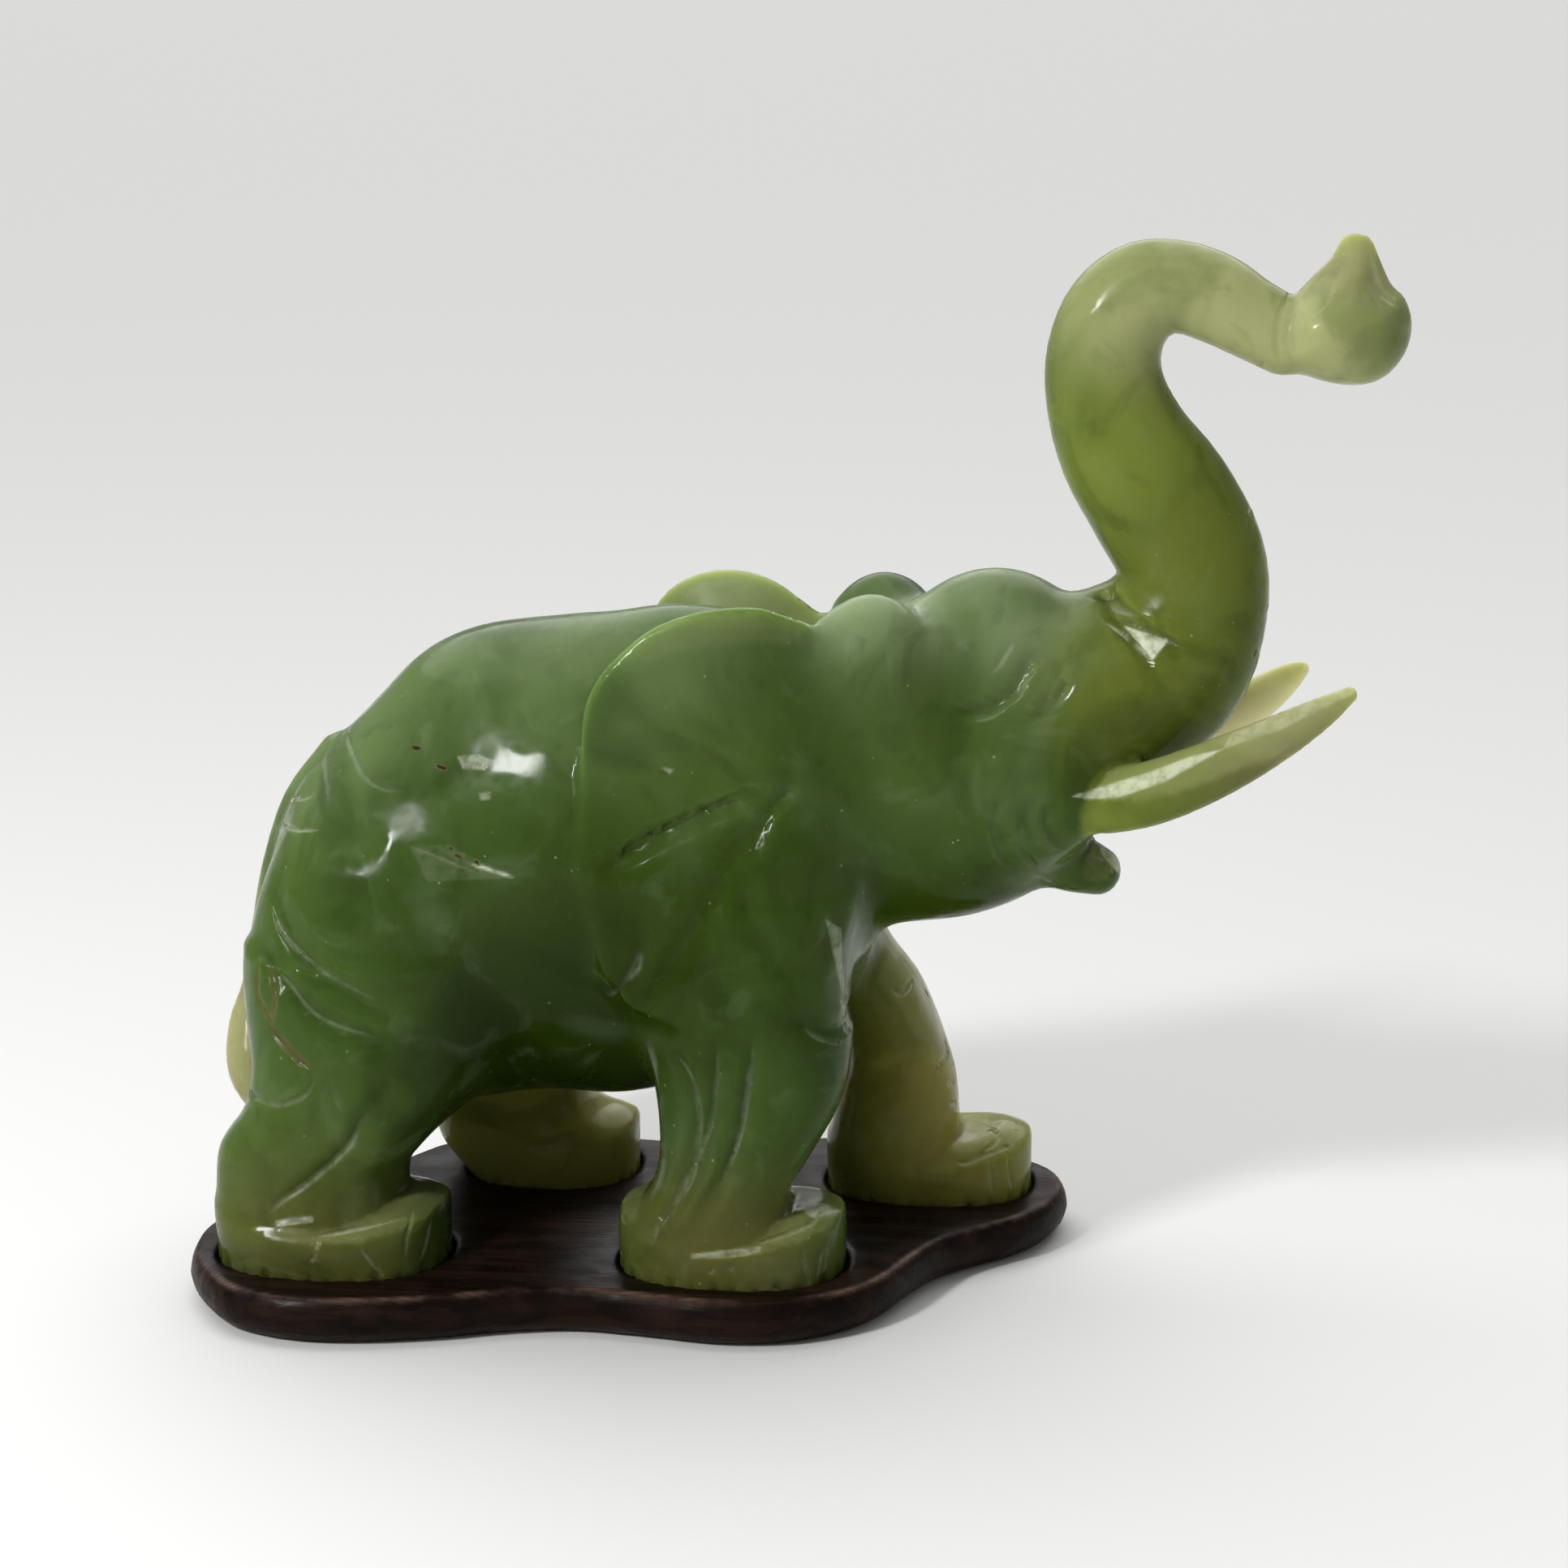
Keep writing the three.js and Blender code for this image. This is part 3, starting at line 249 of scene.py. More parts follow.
RUMP_LINES = [
    ([(-64.5, 80), (-63.1, 77.8), (-60.1, 72), (-55.2, 66.4), (-49.6, 63.2), (-44.4, 60.4), (-39, 58.4)],
     3.4, 1.3, 0.25),
    ([(-66.5, 69.5), (-64.1, 66.7), (-59.9, 62.2), (-55.4, 57.8), (-50.4, 55), (-44.6, 53.1), (-40.3, 51.6)],
     3.4, 1.3, 0.25),
    ([(-61.5, 100.5), (-58.5, 98), (-55, 93.6), (-49.5, 91.4), (-42, 91.6)], 5, 1.3, -0.4),
]
FACE_LINES = [
    ([(61, 115), (64.8, 114.8), (67.8, 115.3), (72, 118.1), (74, 121.4), (76.5, 126)], 2, 1.2, 0.3),
    ([(75.5, 113.6), (76.7, 114.8), (79.7, 117.3), (82.3, 120.7), (82.8, 122)], 1.7, 0.9, -0.3),
    ([(71.5, 101), (69.8, 97), (71.5, 90)], 2, 0.6, 0),
    ([(76.5, 101), (75.2, 96), (77, 89)], 2, 0.6, 0),
    ([(80.2, 99), (79, 95), (82, 89)], 2, 0.7, 0),
]
TRUNK_ROOT_LINES = [
    ([(85.5, 136), (88, 133.5), (93.2, 127.5), (97.6, 122.6)], 2.4, 1.6, 0.4),
    ([(85.5, 137), (89.5, 134.4), (96, 130.4), (102.5, 126.6)], 2.2, 1.5, -0.4),
]
NEAR_LEG_LINES = [
    ([(-40, 46), (-45.5, 39.6), (-47.6, 35.5), (-53.2, 29.4), (-62.8, 21.4)], 3.8, 1.3, 0.35),
    ([(21, 58), (20.4, 55.7), (20, 47.1), (18.8, 39.6), (16.4, 30.1), (10.2, 20.3)], 2.2, 1.2, 0),
    ([(27, 60), (26.9, 57.2), (26.3, 48.6), (24.8, 39.8), (22.4, 32.2), (18.1, 23.8), (14.8, 19.3)],
     2.2, 1.1, 0),
    ([(12.4, 54), (12.9, 53), (16.2, 47.5), (16.7, 40.7), (14.3, 31.2), (9.6, 20.8)], 2, 0.8, 0),
    ([(33, 61), (34.7, 60), (39.4, 57.4), (46, 56.2)], 2.6, 0.9, 0.2),
]

# finer cuts, drawn where the photograph shows them: its pixels, half width and depth in mm, and frost, which
# is 1 for a bright edge, partly frosting and partly painted highlight, and below 0 for painted shadow in the
# cut or a dark speck in the stone
FINE_CUTS = {
    "ear": [
        ([(749, 1061), (787, 1028), (822, 1008), (855, 993), (900, 983)], 0.79, 0.4, 0.3),
        ([(966, 969), (962, 980), (943, 1005), (932, 1031), (925, 1050)], 0.8, 0.5, 0.2),
        ([(922, 1008), (911, 1037), (896, 1081), (872, 1125), (837, 1172), (808, 1208)], 1.2, 0.47, 0.25),
        ([(791, 1149), (784, 1190), (752, 1225)], 1.2, 0.42, 0.35),
        ([(743, 933), (793, 946)], 1.2, 0.32, 0.35),
        ([(949, 1161), (969, 1199), (955, 1212)], 1, 0.37, 0.35),
        # bright lines along the ear's grooves: painted highlight on their lower lip
        ([(750, 1061), (783, 1042), (821, 1021), (858, 1002), (883, 994)], 0.45, 0.2, 1),
        ([(971, 967), (971, 980), (950, 1007), (937, 1032), (929, 1052)], 0.45, 0.2, 1),
        ([(946, 1011), (950, 1004)], 0.45, 0.1, -1),
    ],
    "rump": [
        ([(429, 893), (435, 922), (449, 952), (470, 968), (500, 974)], 0.94, 0.53, 0.15),
        ([(357, 987), (371, 984), (387, 979)], 0.65, 1.1, 0.6),
        ([(348, 1014), (361, 1021), (393, 1022)], 0.65, 0.95, 0.5),
        # a crack behind the haunch with a painted reflection along it
        ([(576, 1063), (605, 1072), (633, 1081)], 0.55, 0.32, 0.9),
        ([(506, 1040), (540, 1052), (590, 1074)], 1, 0.37, 0.3),
        ([(338, 1116), (346, 1143), (370, 1172), (402, 1199), (460, 1229)], 0.72, 0.84, 0.35),
        ([(337, 1190), (360, 1214), (385, 1245), (418, 1263), (462, 1277)], 0.72, 0.84, 0.3),
        # dark lines where the tail meets the rump and its tuft lies on the leg: painted shadow in the gaps
        ([(319, 1188), (316, 1222), (327, 1248), (335, 1259)], 0.86, 1.3, -0.7),
        ([(331, 1262), (356, 1293), (381, 1316)], 0.94, 1.2, -0.6),
        ([(302, 1327), (314, 1351), (343, 1360), (372, 1351), (386, 1332)], 0.72, 0.95, 0.3),
        ([(414, 1342), (417, 1355), (421, 1369)], 0.55, 0.42, 0.3),
        ([(507, 920), (518, 923)], 0.55, 0.1, -1),
        ([(537, 943), (551, 948)], 0.5, 0.1, -1),
        ([(553, 1044), (558, 1046)], 0.5, 0.1, -1),
        ([(559, 1053), (569, 1057)], 0.45, 0.1, -1),
        ([(584, 1061), (591, 1065)], 0.5, 0.1, -1),
        # painted shadow along the tail's edge
        ([(332, 1190), (339, 1219), (335, 1259)], 0.7, 0.7, -0.6),
    ],
    "hind_foot": [
        ([(444, 1378), (431, 1409), (405, 1435), (373, 1461), (344, 1480), (334, 1494)], 0.86, 0.63, 0.4),
        ([(392, 1523), (443, 1513), (500, 1500)], 0.58, 0.37, 0.6),
        ([(392, 1525), (386, 1550), (379, 1574)], 0.55, 0.42, 0.4),
        ([(437, 1525), (455, 1550), (473, 1571)], 0.55, 0.42, 0.4),
        ([(508, 1492), (502, 1520), (498, 1547)], 0.55, 0.53, 0.4),
        ([(531, 1500), (525, 1530), (518, 1551)], 0.55, 0.53, 0.4),
        # bright bar on the near hind foot's rim: painted highlight
        ([(339, 1508), (360, 1504), (385, 1501)], 0.7, 0.3, 0.9),
    ],
    "front_foot": [
        ([(885, 1296), (882, 1341), (876, 1384), (861, 1420), (843, 1457), (828, 1493), (814, 1512)],
         0.72, 0.73, 0.35),
        ([(929, 1290), (922, 1335), (916, 1378), (904, 1420), (891, 1451)], 0.72, 0.63, 0.4),
        ([(834, 1299), (852, 1323), (861, 1360), (861, 1402), (849, 1460), (813, 1505)], 0.65, 0.53, 0.4),
        ([(811, 1508), (802, 1535)], 0.58, 0.53, 0.4),
        ([(991, 1266), (1007, 1278), (1028, 1284), (1049, 1285)], 0.65, 0.84, 0.4),
        ([(852, 1548), (901, 1546), (937, 1540)], 0.55, 0.37, 0.4),
        ([(934, 1532), (970, 1520), (998, 1508), (1019, 1487)], 0.58, 0.53, 0.4),
        ([(888, 1545), (876, 1566), (864, 1588)], 0.55, 0.53, 0.4),
        ([(913, 1536), (901, 1562), (889, 1588)], 0.55, 0.53, 0.4),
        ([(982, 1526), (990, 1553), (998, 1581)], 0.55, 0.42, 0.4),
        ([(1013, 1538), (1010, 1555), (1007, 1572)], 0.55, 0.53, 0.4),
        ([(1022, 1523), (1018, 1546), (1014, 1569)], 0.55, 0.53, 0.4),
        ([(1036, 1233), (1045, 1233)], 0.8, 0.7, 0.4),
        ([(1040, 1270), (1049, 1270)], 0.8, 0.7, 0.4),
        ([(1042, 1190), (1041, 1235), (1046, 1283)], 0.7, 0.3, 0.5),
    ],
    "far_front": [
        ([(1100, 1219), (1113, 1223), (1124, 1207)], 0.86, 1.4, 0.35),
        ([(1169, 1291), (1164, 1305), (1150, 1318)], 0.72, 0.95, 0.35),
        ([(1156, 1321), (1178, 1310)], 0.58, 0.63, 0.35),
        ([(1149, 1442), (1189, 1432), (1213, 1423), (1237, 1414), (1267, 1413)], 0.65, 0.63, 0.35),
        ([(1196, 1380), (1213, 1387), (1232, 1396)], 0.58, 0.73, 0.35),
        ([(1232, 1382), (1218, 1392), (1204, 1400)], 0.58, 0.73, 0.35),
        ([(1213, 1390), (1231, 1402), (1207, 1423)], 0.58, 0.63, 0.35),
        ([(1219, 1428), (1222, 1450), (1225, 1472)], 0.58, 0.63, 0.35),
        ([(1240, 1420), (1244, 1446), (1249, 1469)], 0.58, 0.63, 0.35),
        ([(1168, 1336), (1176, 1334)], 0.7, 0.6, 0.4),
        ([(1171, 1361), (1179, 1358)], 0.7, 0.6, 0.4),
        ([(1255, 1384), (1267, 1414), (1272, 1457)], 0.8, 0.4, 0.4),
    ],
    "far_hind": [
        ([(650, 1413), (680, 1410), (708, 1397)], 1.6, 0.95, -0.25),
    ],
    "eye": [
        ([(1196, 888), (1222, 883), (1244, 869)], 0.58, 0.53, 0.35),
        ([(1252, 864), (1259, 846), (1275, 824)], 0.65, 0.73, 0.35),
        ([(1273, 891), (1293, 881), (1304, 864), (1315, 848)], 0.58, 0.73, 0.35),
        ([(1222, 829), (1236, 806), (1246, 791)], 1, 0.53, 0.35),
    ],
    "trunk_root": [
        ([(1363, 768), (1393, 790), (1421, 815)], 0.72, 0.95, 0.9),
        ([(1379, 759), (1418, 781), (1451, 794)], 0.72, 0.95, 0.5),
        ([(1363, 743), (1393, 754), (1450, 758)], 0.94, 0.63, 0.5),
    ],
    "cheek": [
        ([(1228, 1001), (1222, 1023), (1230, 1053), (1252, 1075)], 1.1, 0.47, 0.12),
        ([(1259, 1012), (1255, 1034), (1267, 1060), (1289, 1079)], 1.1, 0.53, 0.12),
        ([(1289, 986), (1287, 1016), (1300, 1042), (1318, 1046)], 1.1, 0.53, 0.12),
        ([(1333, 1046), (1355, 1058), (1371, 1074)], 0.58, 0.84, 0.8),
        ([(1274, 1081), (1296, 1091), (1320, 1095)], 0.72, 0.95, 0.12),
    ],
    "bud": [
        ([(1588, 362), (1578, 385), (1573, 410), (1572, 432), (1577, 449)], 0.9, 0.6, 0.1),
        ([(1651, 362), (1628, 398), (1612, 423)], 0.72, -0.37, 0.25),
        ([(1640, 350), (1632, 378), (1606, 404)], 0.94, 0.53, 0.25),
        ([(1668, 352), (1664, 390), (1650, 420)], 1.2, 0.47, 0.25),
        ([(1676, 360), (1686, 388), (1698, 428)], 0.79, 0.53, 0.25),
        ([(1690, 364), (1702, 396), (1708, 430)], 0.72, 0.47, 0.25),
        ([(1688, 315), (1696, 350), (1720, 378)], 1.2, 0.53, 0.25),
    ],
    "nicks": [
        ([(1436, 484), (1440, 492)], 0.65, 0.84, 0.15),
        ([(1552, 452), (1556, 446)], 0.72, 0.95, 0.15),
        ([(1543, 628), (1539, 634)], 0.58, 0.63, 0.15),
        ([(1565, 745), (1560, 751)], 0.65, 0.84, 0.15),
        ([(1549, 801), (1544, 808)], 0.65, 0.84, 0.15),
    ],
}
# a cut with more frost than this is one bright line, frosting with a painted highlight, and not a pale edge
# beside a dark one
BRIGHT = 0.6
# how much wider and shallower the cuts are made than they are drawn
WIDER = 1.25
SHALLOWER = 0.5
# these groups are on the far side too, moved this far along x
MIRRORED_CUTS = {"ear": 0.0, "eye": 0.0, "trunk_root": 0.0, "hind_foot": 32.6, "front_foot": 33.3}

# pale frosted faces and painted highlights on small facets: outline in the photograph's pixels and how pale
FROSTED_AND_GLINTS = [
    # root of the tusk, its upper bevel and the edge of the lower lip
    ([(1321, 981), (1380, 962), (1416, 951), (1472, 930), (1507, 923), (1475, 941), (1433, 965), (1377, 983),
      (1338, 985)], 0.75),
    ([(1507, 923), (1517, 903), (1560, 886), (1600, 865), (1650, 849), (1672, 845), (1673, 853), (1640, 868),
      (1577, 900), (1530, 915)], 0.3),
    ([(1354, 1034), (1370, 1034), (1384, 1067), (1381, 1080), (1366, 1063), (1356, 1051)], 0.7),
    # edge of the near front leg
    ([(1017, 1132), (1037, 1144), (1038, 1190), (1044, 1225), (1037, 1223), (1029, 1186)], 0.35),
    ([(1037, 1238), (1046, 1240), (1047, 1269), (1042, 1261), (1037, 1248)], 0.35),
    # facet at the root of the trunk
    ([(1385, 771), (1440, 789), (1420, 814), (1407, 798)], 1.0),
    # painted highlights on small chips behind the ear, and a frosted facet with a painted reflection on the
    # rump
    ([(563, 932), (590, 929), (610, 938), (596, 949), (570, 947)], 0.35),
    ([(590, 977), (605, 976), (604, 985), (592, 986)], 0.35),
    ([(814, 945), (830, 948), (826, 954)], 0.35),
    ([(505, 1042), (552, 1041), (632, 1081), (526, 1087)], 0.07),
    # cut faces on the feet; the first is a painted highlight on the rim of the near hind foot
    ([(339, 1504), (385, 1498), (386, 1506), (341, 1512)], 0.4),
    ([(852, 1545), (937, 1536), (937, 1543), (852, 1551)], 0.45),
    ([(975, 1478), (1022, 1484), (1036, 1492), (1002, 1502)], 0.45),
]


def smooth_min(a, b, k):
    h = np.clip(0.5 + 0.5 * (b - a) / k, 0.0, 1.0)
    return b + (a - b) * h - k * h * (1.0 - h)


def smooth_max(a, b, k):
    return -smooth_min(-a, -b, k)


def ramp(x, low, high):
    t = np.clip((x - low) / (high - low), 0.0, 1.0)
    return t * t * (3.0 - 2.0 * t)


def catmull(a, b, c, d, t):
    """A point between b and c on the smooth line through a, b, c and d."""
    first = 2 * b + (c - a) * t
    second = (2 * a - 5 * b + 4 * c - d) * t**2
    return 0.5 * (first + second + (3 * b - a - 3 * c + d) * t**3)


def smooth(rows, per_span):
    """A smooth line through all rows but the first and the last, which only steer its ends."""
    steps = np.arange(per_span) / per_span
    return np.array([catmull(*rows[i : i + 4], t) for i in range(len(rows) - 3) for t in steps])


def smooth_rows(rows, per_span):
    """Rows of numbers with more rows put between them along a smooth line."""
    p = np.asarray(rows, float)
    return np.vstack([smooth(np.vstack([2 * p[0] - p[1], p, 2 * p[-1] - p[-2]]), per_span), p[-1]])


def smooth_ring(rows, per_span):
    """The same round a closed outline."""
    p = np.asarray(rows, float)
    return smooth(np.vstack([p[-1], p, p[:2]]), per_span)


EAR_RINGS = {-1: smooth_ring(EAR_NEAR, 3), 1: smooth_ring(EAR_FAR, 3)}
BUD_RING = smooth_ring(BUD, 3)
STAND_RING = smooth_ring(STAND_OUTLINE, 4)


def segment_distance(q, a, b):
    """How far the points q are from the segment a to b, and how far along it the nearest place is."""
    ab = b - a
    t = np.clip((q - a) @ ab / (ab @ ab), 0.0, 1.0)
    return np.linalg.norm(q - a - t[:, None] * ab, axis=1), t


def nearest_on(line, q):
    """How far the points q are from a line, its nearest span, and how far along that span."""
    best = np.full(len(q), 1e9)
    span = np.zeros(len(q), int)
    part = np.zeros(len(q))
    for i, (a, b) in enumerate(zip(line[:-1], line[1:])):
        gap, t = segment_distance(q, a, b)
        closer = gap < best
        best = np.where(closer, gap, best)
        span = np.where(closer, i, span)
        part = np.where(closer, t, part)
    return best, span, part


def ball(p, centre, radii, tilt):
    """Distance to an ellipsoid, its nose tipped up by tilt degrees in the side view."""
    c = np.cos(np.radians(tilt))
    s = np.sin(np.radians(tilt))
    d = p - np.asarray(centre, float)
    q = np.stack([d[:, 0] * c + d[:, 2] * s, d[:, 1], d[:, 2] * c - d[:, 0] * s], 1) / radii
    ratio = np.linalg.norm(q, axis=1)
    slope = np.linalg.norm(q / radii, axis=1)
    return ratio * (ratio - 1.0) / np.maximum(slope, 1e-6)


def limb(p, path, flat):
    """Distance to a tapering round limb along a smooth line; flat squeezes or widens it sideways."""
    scale = np.array([1.0, 1.0 / flat, 1.0])
    line = smooth_rows(path, 4)
    centres = line[:, :3] * scale
    q = p * scale
    best = np.full(len(p), 1e9)
    for a, b, ra, rb in zip(centres[:-1], centres[1:], line[:-1, 3], line[1:, 3]):
        gap, t = segment_distance(q, a, b)
        best = np.minimum(best, gap - (ra + t * (rb - ra)))
    return best * min(1.0, (1.0 + flat) / 2.0)


def leg(p, rows):
    """Distance to an upright leg with a rounded-box section, read off its rows by height."""
    line = smooth_rows(rows, 3)
    rear, front, middle, half = [np.interp(p[:, 2], line[:, 0], line[:, k]) for k in (1, 2, 3, 4)]
    length = (front - rear) / 2
    qx = np.abs((p[:, 0] - (rear + front) / 2) / length)
    qy = np.abs((p[:, 1] - middle) / half)
    ratio = (qx**LEG_POWER + qy**LEG_POWER) ** (1 / LEG_POWER)
    return np.maximum((ratio - 1.0) * np.minimum(length, half), p[:, 2] - rows[-1][0])


def foot_wall(p, cx, cy, rx, ry):
    qx = np.abs((p[:, 0] - cx) / rx) ** FOOT_POWER
    qy = np.abs((p[:, 1] - cy) / ry) ** FOOT_POWER
    return ((qx + qy) ** (1 / FOOT_POWER) - 1.0) * ry


def foot(p, size):
    """Distance to a thick foot pad with a bevelled rim."""
    wall = foot_wall(p, *size)
    rise = FOOT_RISE * np.clip(((p[:, 0] - size[0]) / size[2]) ** 2, 0, 1.2)
    bevel = (wall + p[:, 2] - FOOT_RIM - rise) * np.sqrt(0.5)
    return smooth_max(smooth_max(wall, bevel, 1.0), p[:, 2] - FOOT_HIGH - rise, 1.6)


def outline_distance(q, ring):
    """Distance to a closed flat outline, below zero inside."""
    best = np.full(len(q), 1e9)
    inside = np.zeros(len(q), bool)
    for a, b in zip(ring, np.roll(ring, -1, 0)):
        best = np.minimum(best, segment_distance(q, a, b)[0])
        if a[1] != b[1]:
            crossed = (a[1] > q[:, 1]) != (b[1] > q[:, 1])
            inside ^= crossed & (q[:, 0] < a[0] + (q[:, 1] - a[1]) / (b[1] - a[1]) * (b[0] - a[0]))
    return np.where(inside, -best, best)


def ear(p, ring, side):
    """Distance to a fan thin at its free edge and thicker toward its middle; side is -1 for the right one."""
    x, z = p[:, 0], p[:, 2]
    rim = outline_distance(p[:, [0, 2]], ring)
    turned = np.clip(x - EAR_TURN_X, 0, 40)
    drop = EAR_SPREAD * np.clip(EAR_TOP_Z - z, -4, 46) + EAR_FLARE * np.clip(EAR_FLARE_Z - z, 0, 30)
    outer = EAR_TOP_Y + drop - EAR_TURN * turned**2
    thick = EAR_EDGE + EAR_WEDGE * np.clip(-rim, 0, 20)
    out = p[:, 1] * side
    return smooth_max(smooth_max(out - outer, rim, 1.4), outer - thick - out, 1.0)


def bud(p, ring):
    """Distance to the bud: its outline is exact in the side view, and it is a rounded pillow across."""
    half = BUD_HALF + (BUD_TIP_HALF - BUD_HALF) * ramp(p[:, 2], *BUD_THINS)
    share = np.maximum(0.0, 1.0 + outline_distance(p[:, [0, 2]], ring) / BUD_ROUND)
    return (np.hypot(share, p[:, 1] / half) - 1.0) * np.minimum(BUD_ROUND, half)


def within(p, low, high, reach):
    return np.all((p > np.asarray(low) - reach) & (p < np.asarray(high) + reach), axis=1)


def broad_cut(p, points, width, depth, lean, side):
    """How much a carved line in the side view takes off one flank; it fades to both of its ends."""
    line = smooth_rows(points, 4)
    low = line.min(0) - 2 * width
    high = line.max(0) + 2 * width
    cut = np.zeros(len(p))
    flat = p[:, [0, 2]]
    near = np.all((flat > low) & (flat < high), axis=1) & (p[:, 1] * side >= FLANK)
    if not near.any():
        return cut
    q = flat[near]
    best, span, part = nearest_on(line, q)
    step = np.diff(line, axis=0)
    lengths = np.linalg.norm(step, axis=1)
    starts = np.concatenate([[0.0], np.cumsum(lengths)])
    along = (starts[span] + part * lengths[span]) / starts[-1]
    off = q - line[span]
    hand = np.sign(step[span, 0] * off[:, 1] - step[span, 1] * off[:, 0])
    profile = np.clip(1.0 - best / (width * (1.0 + lean * hand)), 0, 1)
    fade = np.clip(np.minimum(along, 1.0 - along) * 5.0, 0, 1) ** 0.7
    cut[near] = depth * profile * fade
    return cut


# a form is the box that holds it, its distance and its fillet
def ball_form(size, side=1):
    (cx, cy, cz), radii, fillet, tilt = size
    centre = np.array([cx, cy * side, cz], float)
    radii = np.asarray(radii, float)
    half = np.full(3, radii.max()) if tilt else radii
    return centre - half, centre + half, lambda q: ball(q, centre, radii, tilt), fillet


def limb_form(path, fillet, flat):
    rows = np.asarray(path, float)
    low = (rows[:, :3] - rows[:, 3:]).min(0)
    high = (rows[:, :3] + rows[:, 3:]).max(0)
    return low, high, lambda q: limb(q, path, flat), fillet


def leg_form(rows):
    r = np.asarray(rows, float)
    low = (r[:, 1].min(), (r[:, 3] - r[:, 4]).min(), 0)
    high = (r[:, 2].max(), (r[:, 3] + r[:, 4]).max(), rows[-1][0])
    return low, high, lambda q: leg(q, rows), LEG_FILLET


def foot_form(size):
    cx, cy, rx, ry = size
    low = (cx - rx, cy - ry, FOOT_LOW)
    high = (cx + rx, cy + ry, FOOT_HIGH + FOOT_RISE)
    return low, high, lambda q: foot(q, size), FOOT_FILLET


def bud_form():
    (x0, z0), (x1, z1) = BUD_RING.min(0), BUD_RING.max(0)
    return (x0, -BUD_HALF, z0), (x1, BUD_HALF, z1), lambda q: bud(q, BUD_RING), BUD_FILLET


def ear_fillet(q):
    """An ear joins softly at its root and foot, and crisply along its free edge."""
    return 1.3 + 6.0 * np.maximum(ramp(q[:, 0], 16, 34), ramp(-q[:, 2], -99, -86))


def ear_form(side):
    (x0, z0), (x1, z1) = EAR_RINGS[side].min(0), EAR_RINGS[side].max(0)
    ends = (10 * side, 42 * side)
    return (x0, min(ends), z0), (x1, max(ends), z1), lambda q: ear(q, EAR_RINGS[side], side), ear_fillet


SIDES = (-1, 1)
CARVED_FORMS = [
    *[ball_form(size) for size in TORSO],
    *[ball_form(size, side) for side in SIDES for size in (HAUNCH, SHOULDER)],
    *[ball_form(size) for size in HEAD],
    *[ball_form(size, side) for side in SIDES for size in (DOME, CHEEK)],
    limb_form(LOWER_LIP, LIP_FILLET, LIP_FLAT),
    limb_form(TRUNK, TRUNK_FILLET, TRUNK_FLAT),
    bud_form(),
    *[leg_form(rows) for rows in (LEG_NEAR_HIND, LEG_FAR_HIND, LEG_NEAR_FRONT, LEG_FAR_FRONT)],
    *[foot_form(size) for size in FEET.values()],
    *[ear_form(side) for side in SIDES],
]
PLAIN_FORMS = [
    limb_form(TUSK_NEAR, TUSK_FILLET, TUSK_FLAT),
    limb_form(TUSK_FAR, TUSK_FILLET, TUSK_FLAT),
    limb_form(TAIL, TAIL_FILLET, TAIL_FLAT),
]


def join(p, value, forms):
    """Joins the forms to the distances so far, each worked out only near its box."""
    for low, high, shape, fillet in forms:
        near = within(p, low, high, REACH)
        if near.any():
            q = p[near]
            value[near] = smooth_min(value[near], shape(q), fillet(q) if callable(fillet) else fillet)


def broad_carving(p):
    """The broad lines of both flanks together."""
    cut = np.zeros(len(p))
    for side in SIDES:
        for line in EAR_LINES + RUMP_LINES + FACE_LINES + TRUNK_ROOT_LINES:
            cut += broad_cut(p, *line, side)
    for line in NEAR_LEG_LINES:
        cut += broad_cut(p, *line, -1)
    return cut


def stone(p):
    """The whole elephant without its finer cuts, as one distance in mm, below zero inside.

    The broad lines are cut before the tusks and the tail are joined, so these stay smooth.
    """
    value = np.full(len(p), FAR_AWAY)
    join(p, value, CARVED_FORMS)
    shallow = np.abs(value) < BROAD_REACH
    value[shallow] += broad_carving(p[shallow])
    join(p, value, PLAIN_FORMS)
    return np.maximum(value, FOOT_LOW - p[:, 2])


def camera_axes():
    """The directions right, up and back of the photograph's camera."""
    a, e = np.radians(AZIMUTH), np.radians(ELEVATION)
    back = np.array([np.sin(a) * np.cos(e), -np.cos(a) * np.cos(e), np.sin(e)])
    right = np.array([np.cos(a), np.sin(a), 0.0])
    return right, np.cross(back, right), back


def trace(eye, way, run):
    """Where rays meet the elephant, or pass it most closely; each begins at its run along its way."""
    closest = np.full(len(way), 1e9)
    best = run.copy()
    for _ in range(TRACE_STEPS):
        gap = stone(eye + way * run[:, None])
        better = gap < closest - 0.02
        closest = np.where(better, gap, closest)
        best = np.where(better, run, best)
        run = run + np.where(closest > TRACE_NONE, np.maximum(np.abs(gap) * TRACE_SHARE, TRACE_LEAST), 0.0)
    return eye + way * best[:, None]


def on_the_stone(pixels):
    """The places on the elephant that the photograph's pixels show."""
    right, up, back = camera_axes()
    uv = np.asarray(pixels, float) - PHOTO_WIDTH / 2
    way = right * uv[:, :1] / FOCAL - up * uv[:, 1:] / FOCAL - back
    way /= np.linalg.norm(way, axis=1)[:, None]
    return trace(TARGET + back * DISTANCE, way, np.full(len(way), TRACE_START))


def on_the_far_side(places):
    """Places on the near side carried across to the far side of the elephant."""
    eye = np.column_stack([places[:, 0], np.full(len(places), FAR_SIDE_START), places[:, 2]])
    return trace(eye, np.tile([0.0, -1.0, 0.0], (len(places), 1)), np.zeros(len(places)))


def in_the_photograph(points):
    """The photograph's pixels that points in space fall on."""
    right, up, back = camera_axes()
    away = points - TARGET - back * DISTANCE
    depth = -(away @ back)
    return PHOTO_WIDTH / 2 + FOCAL * np.stack([away @ right / depth, -(away @ up) / depth], 1)


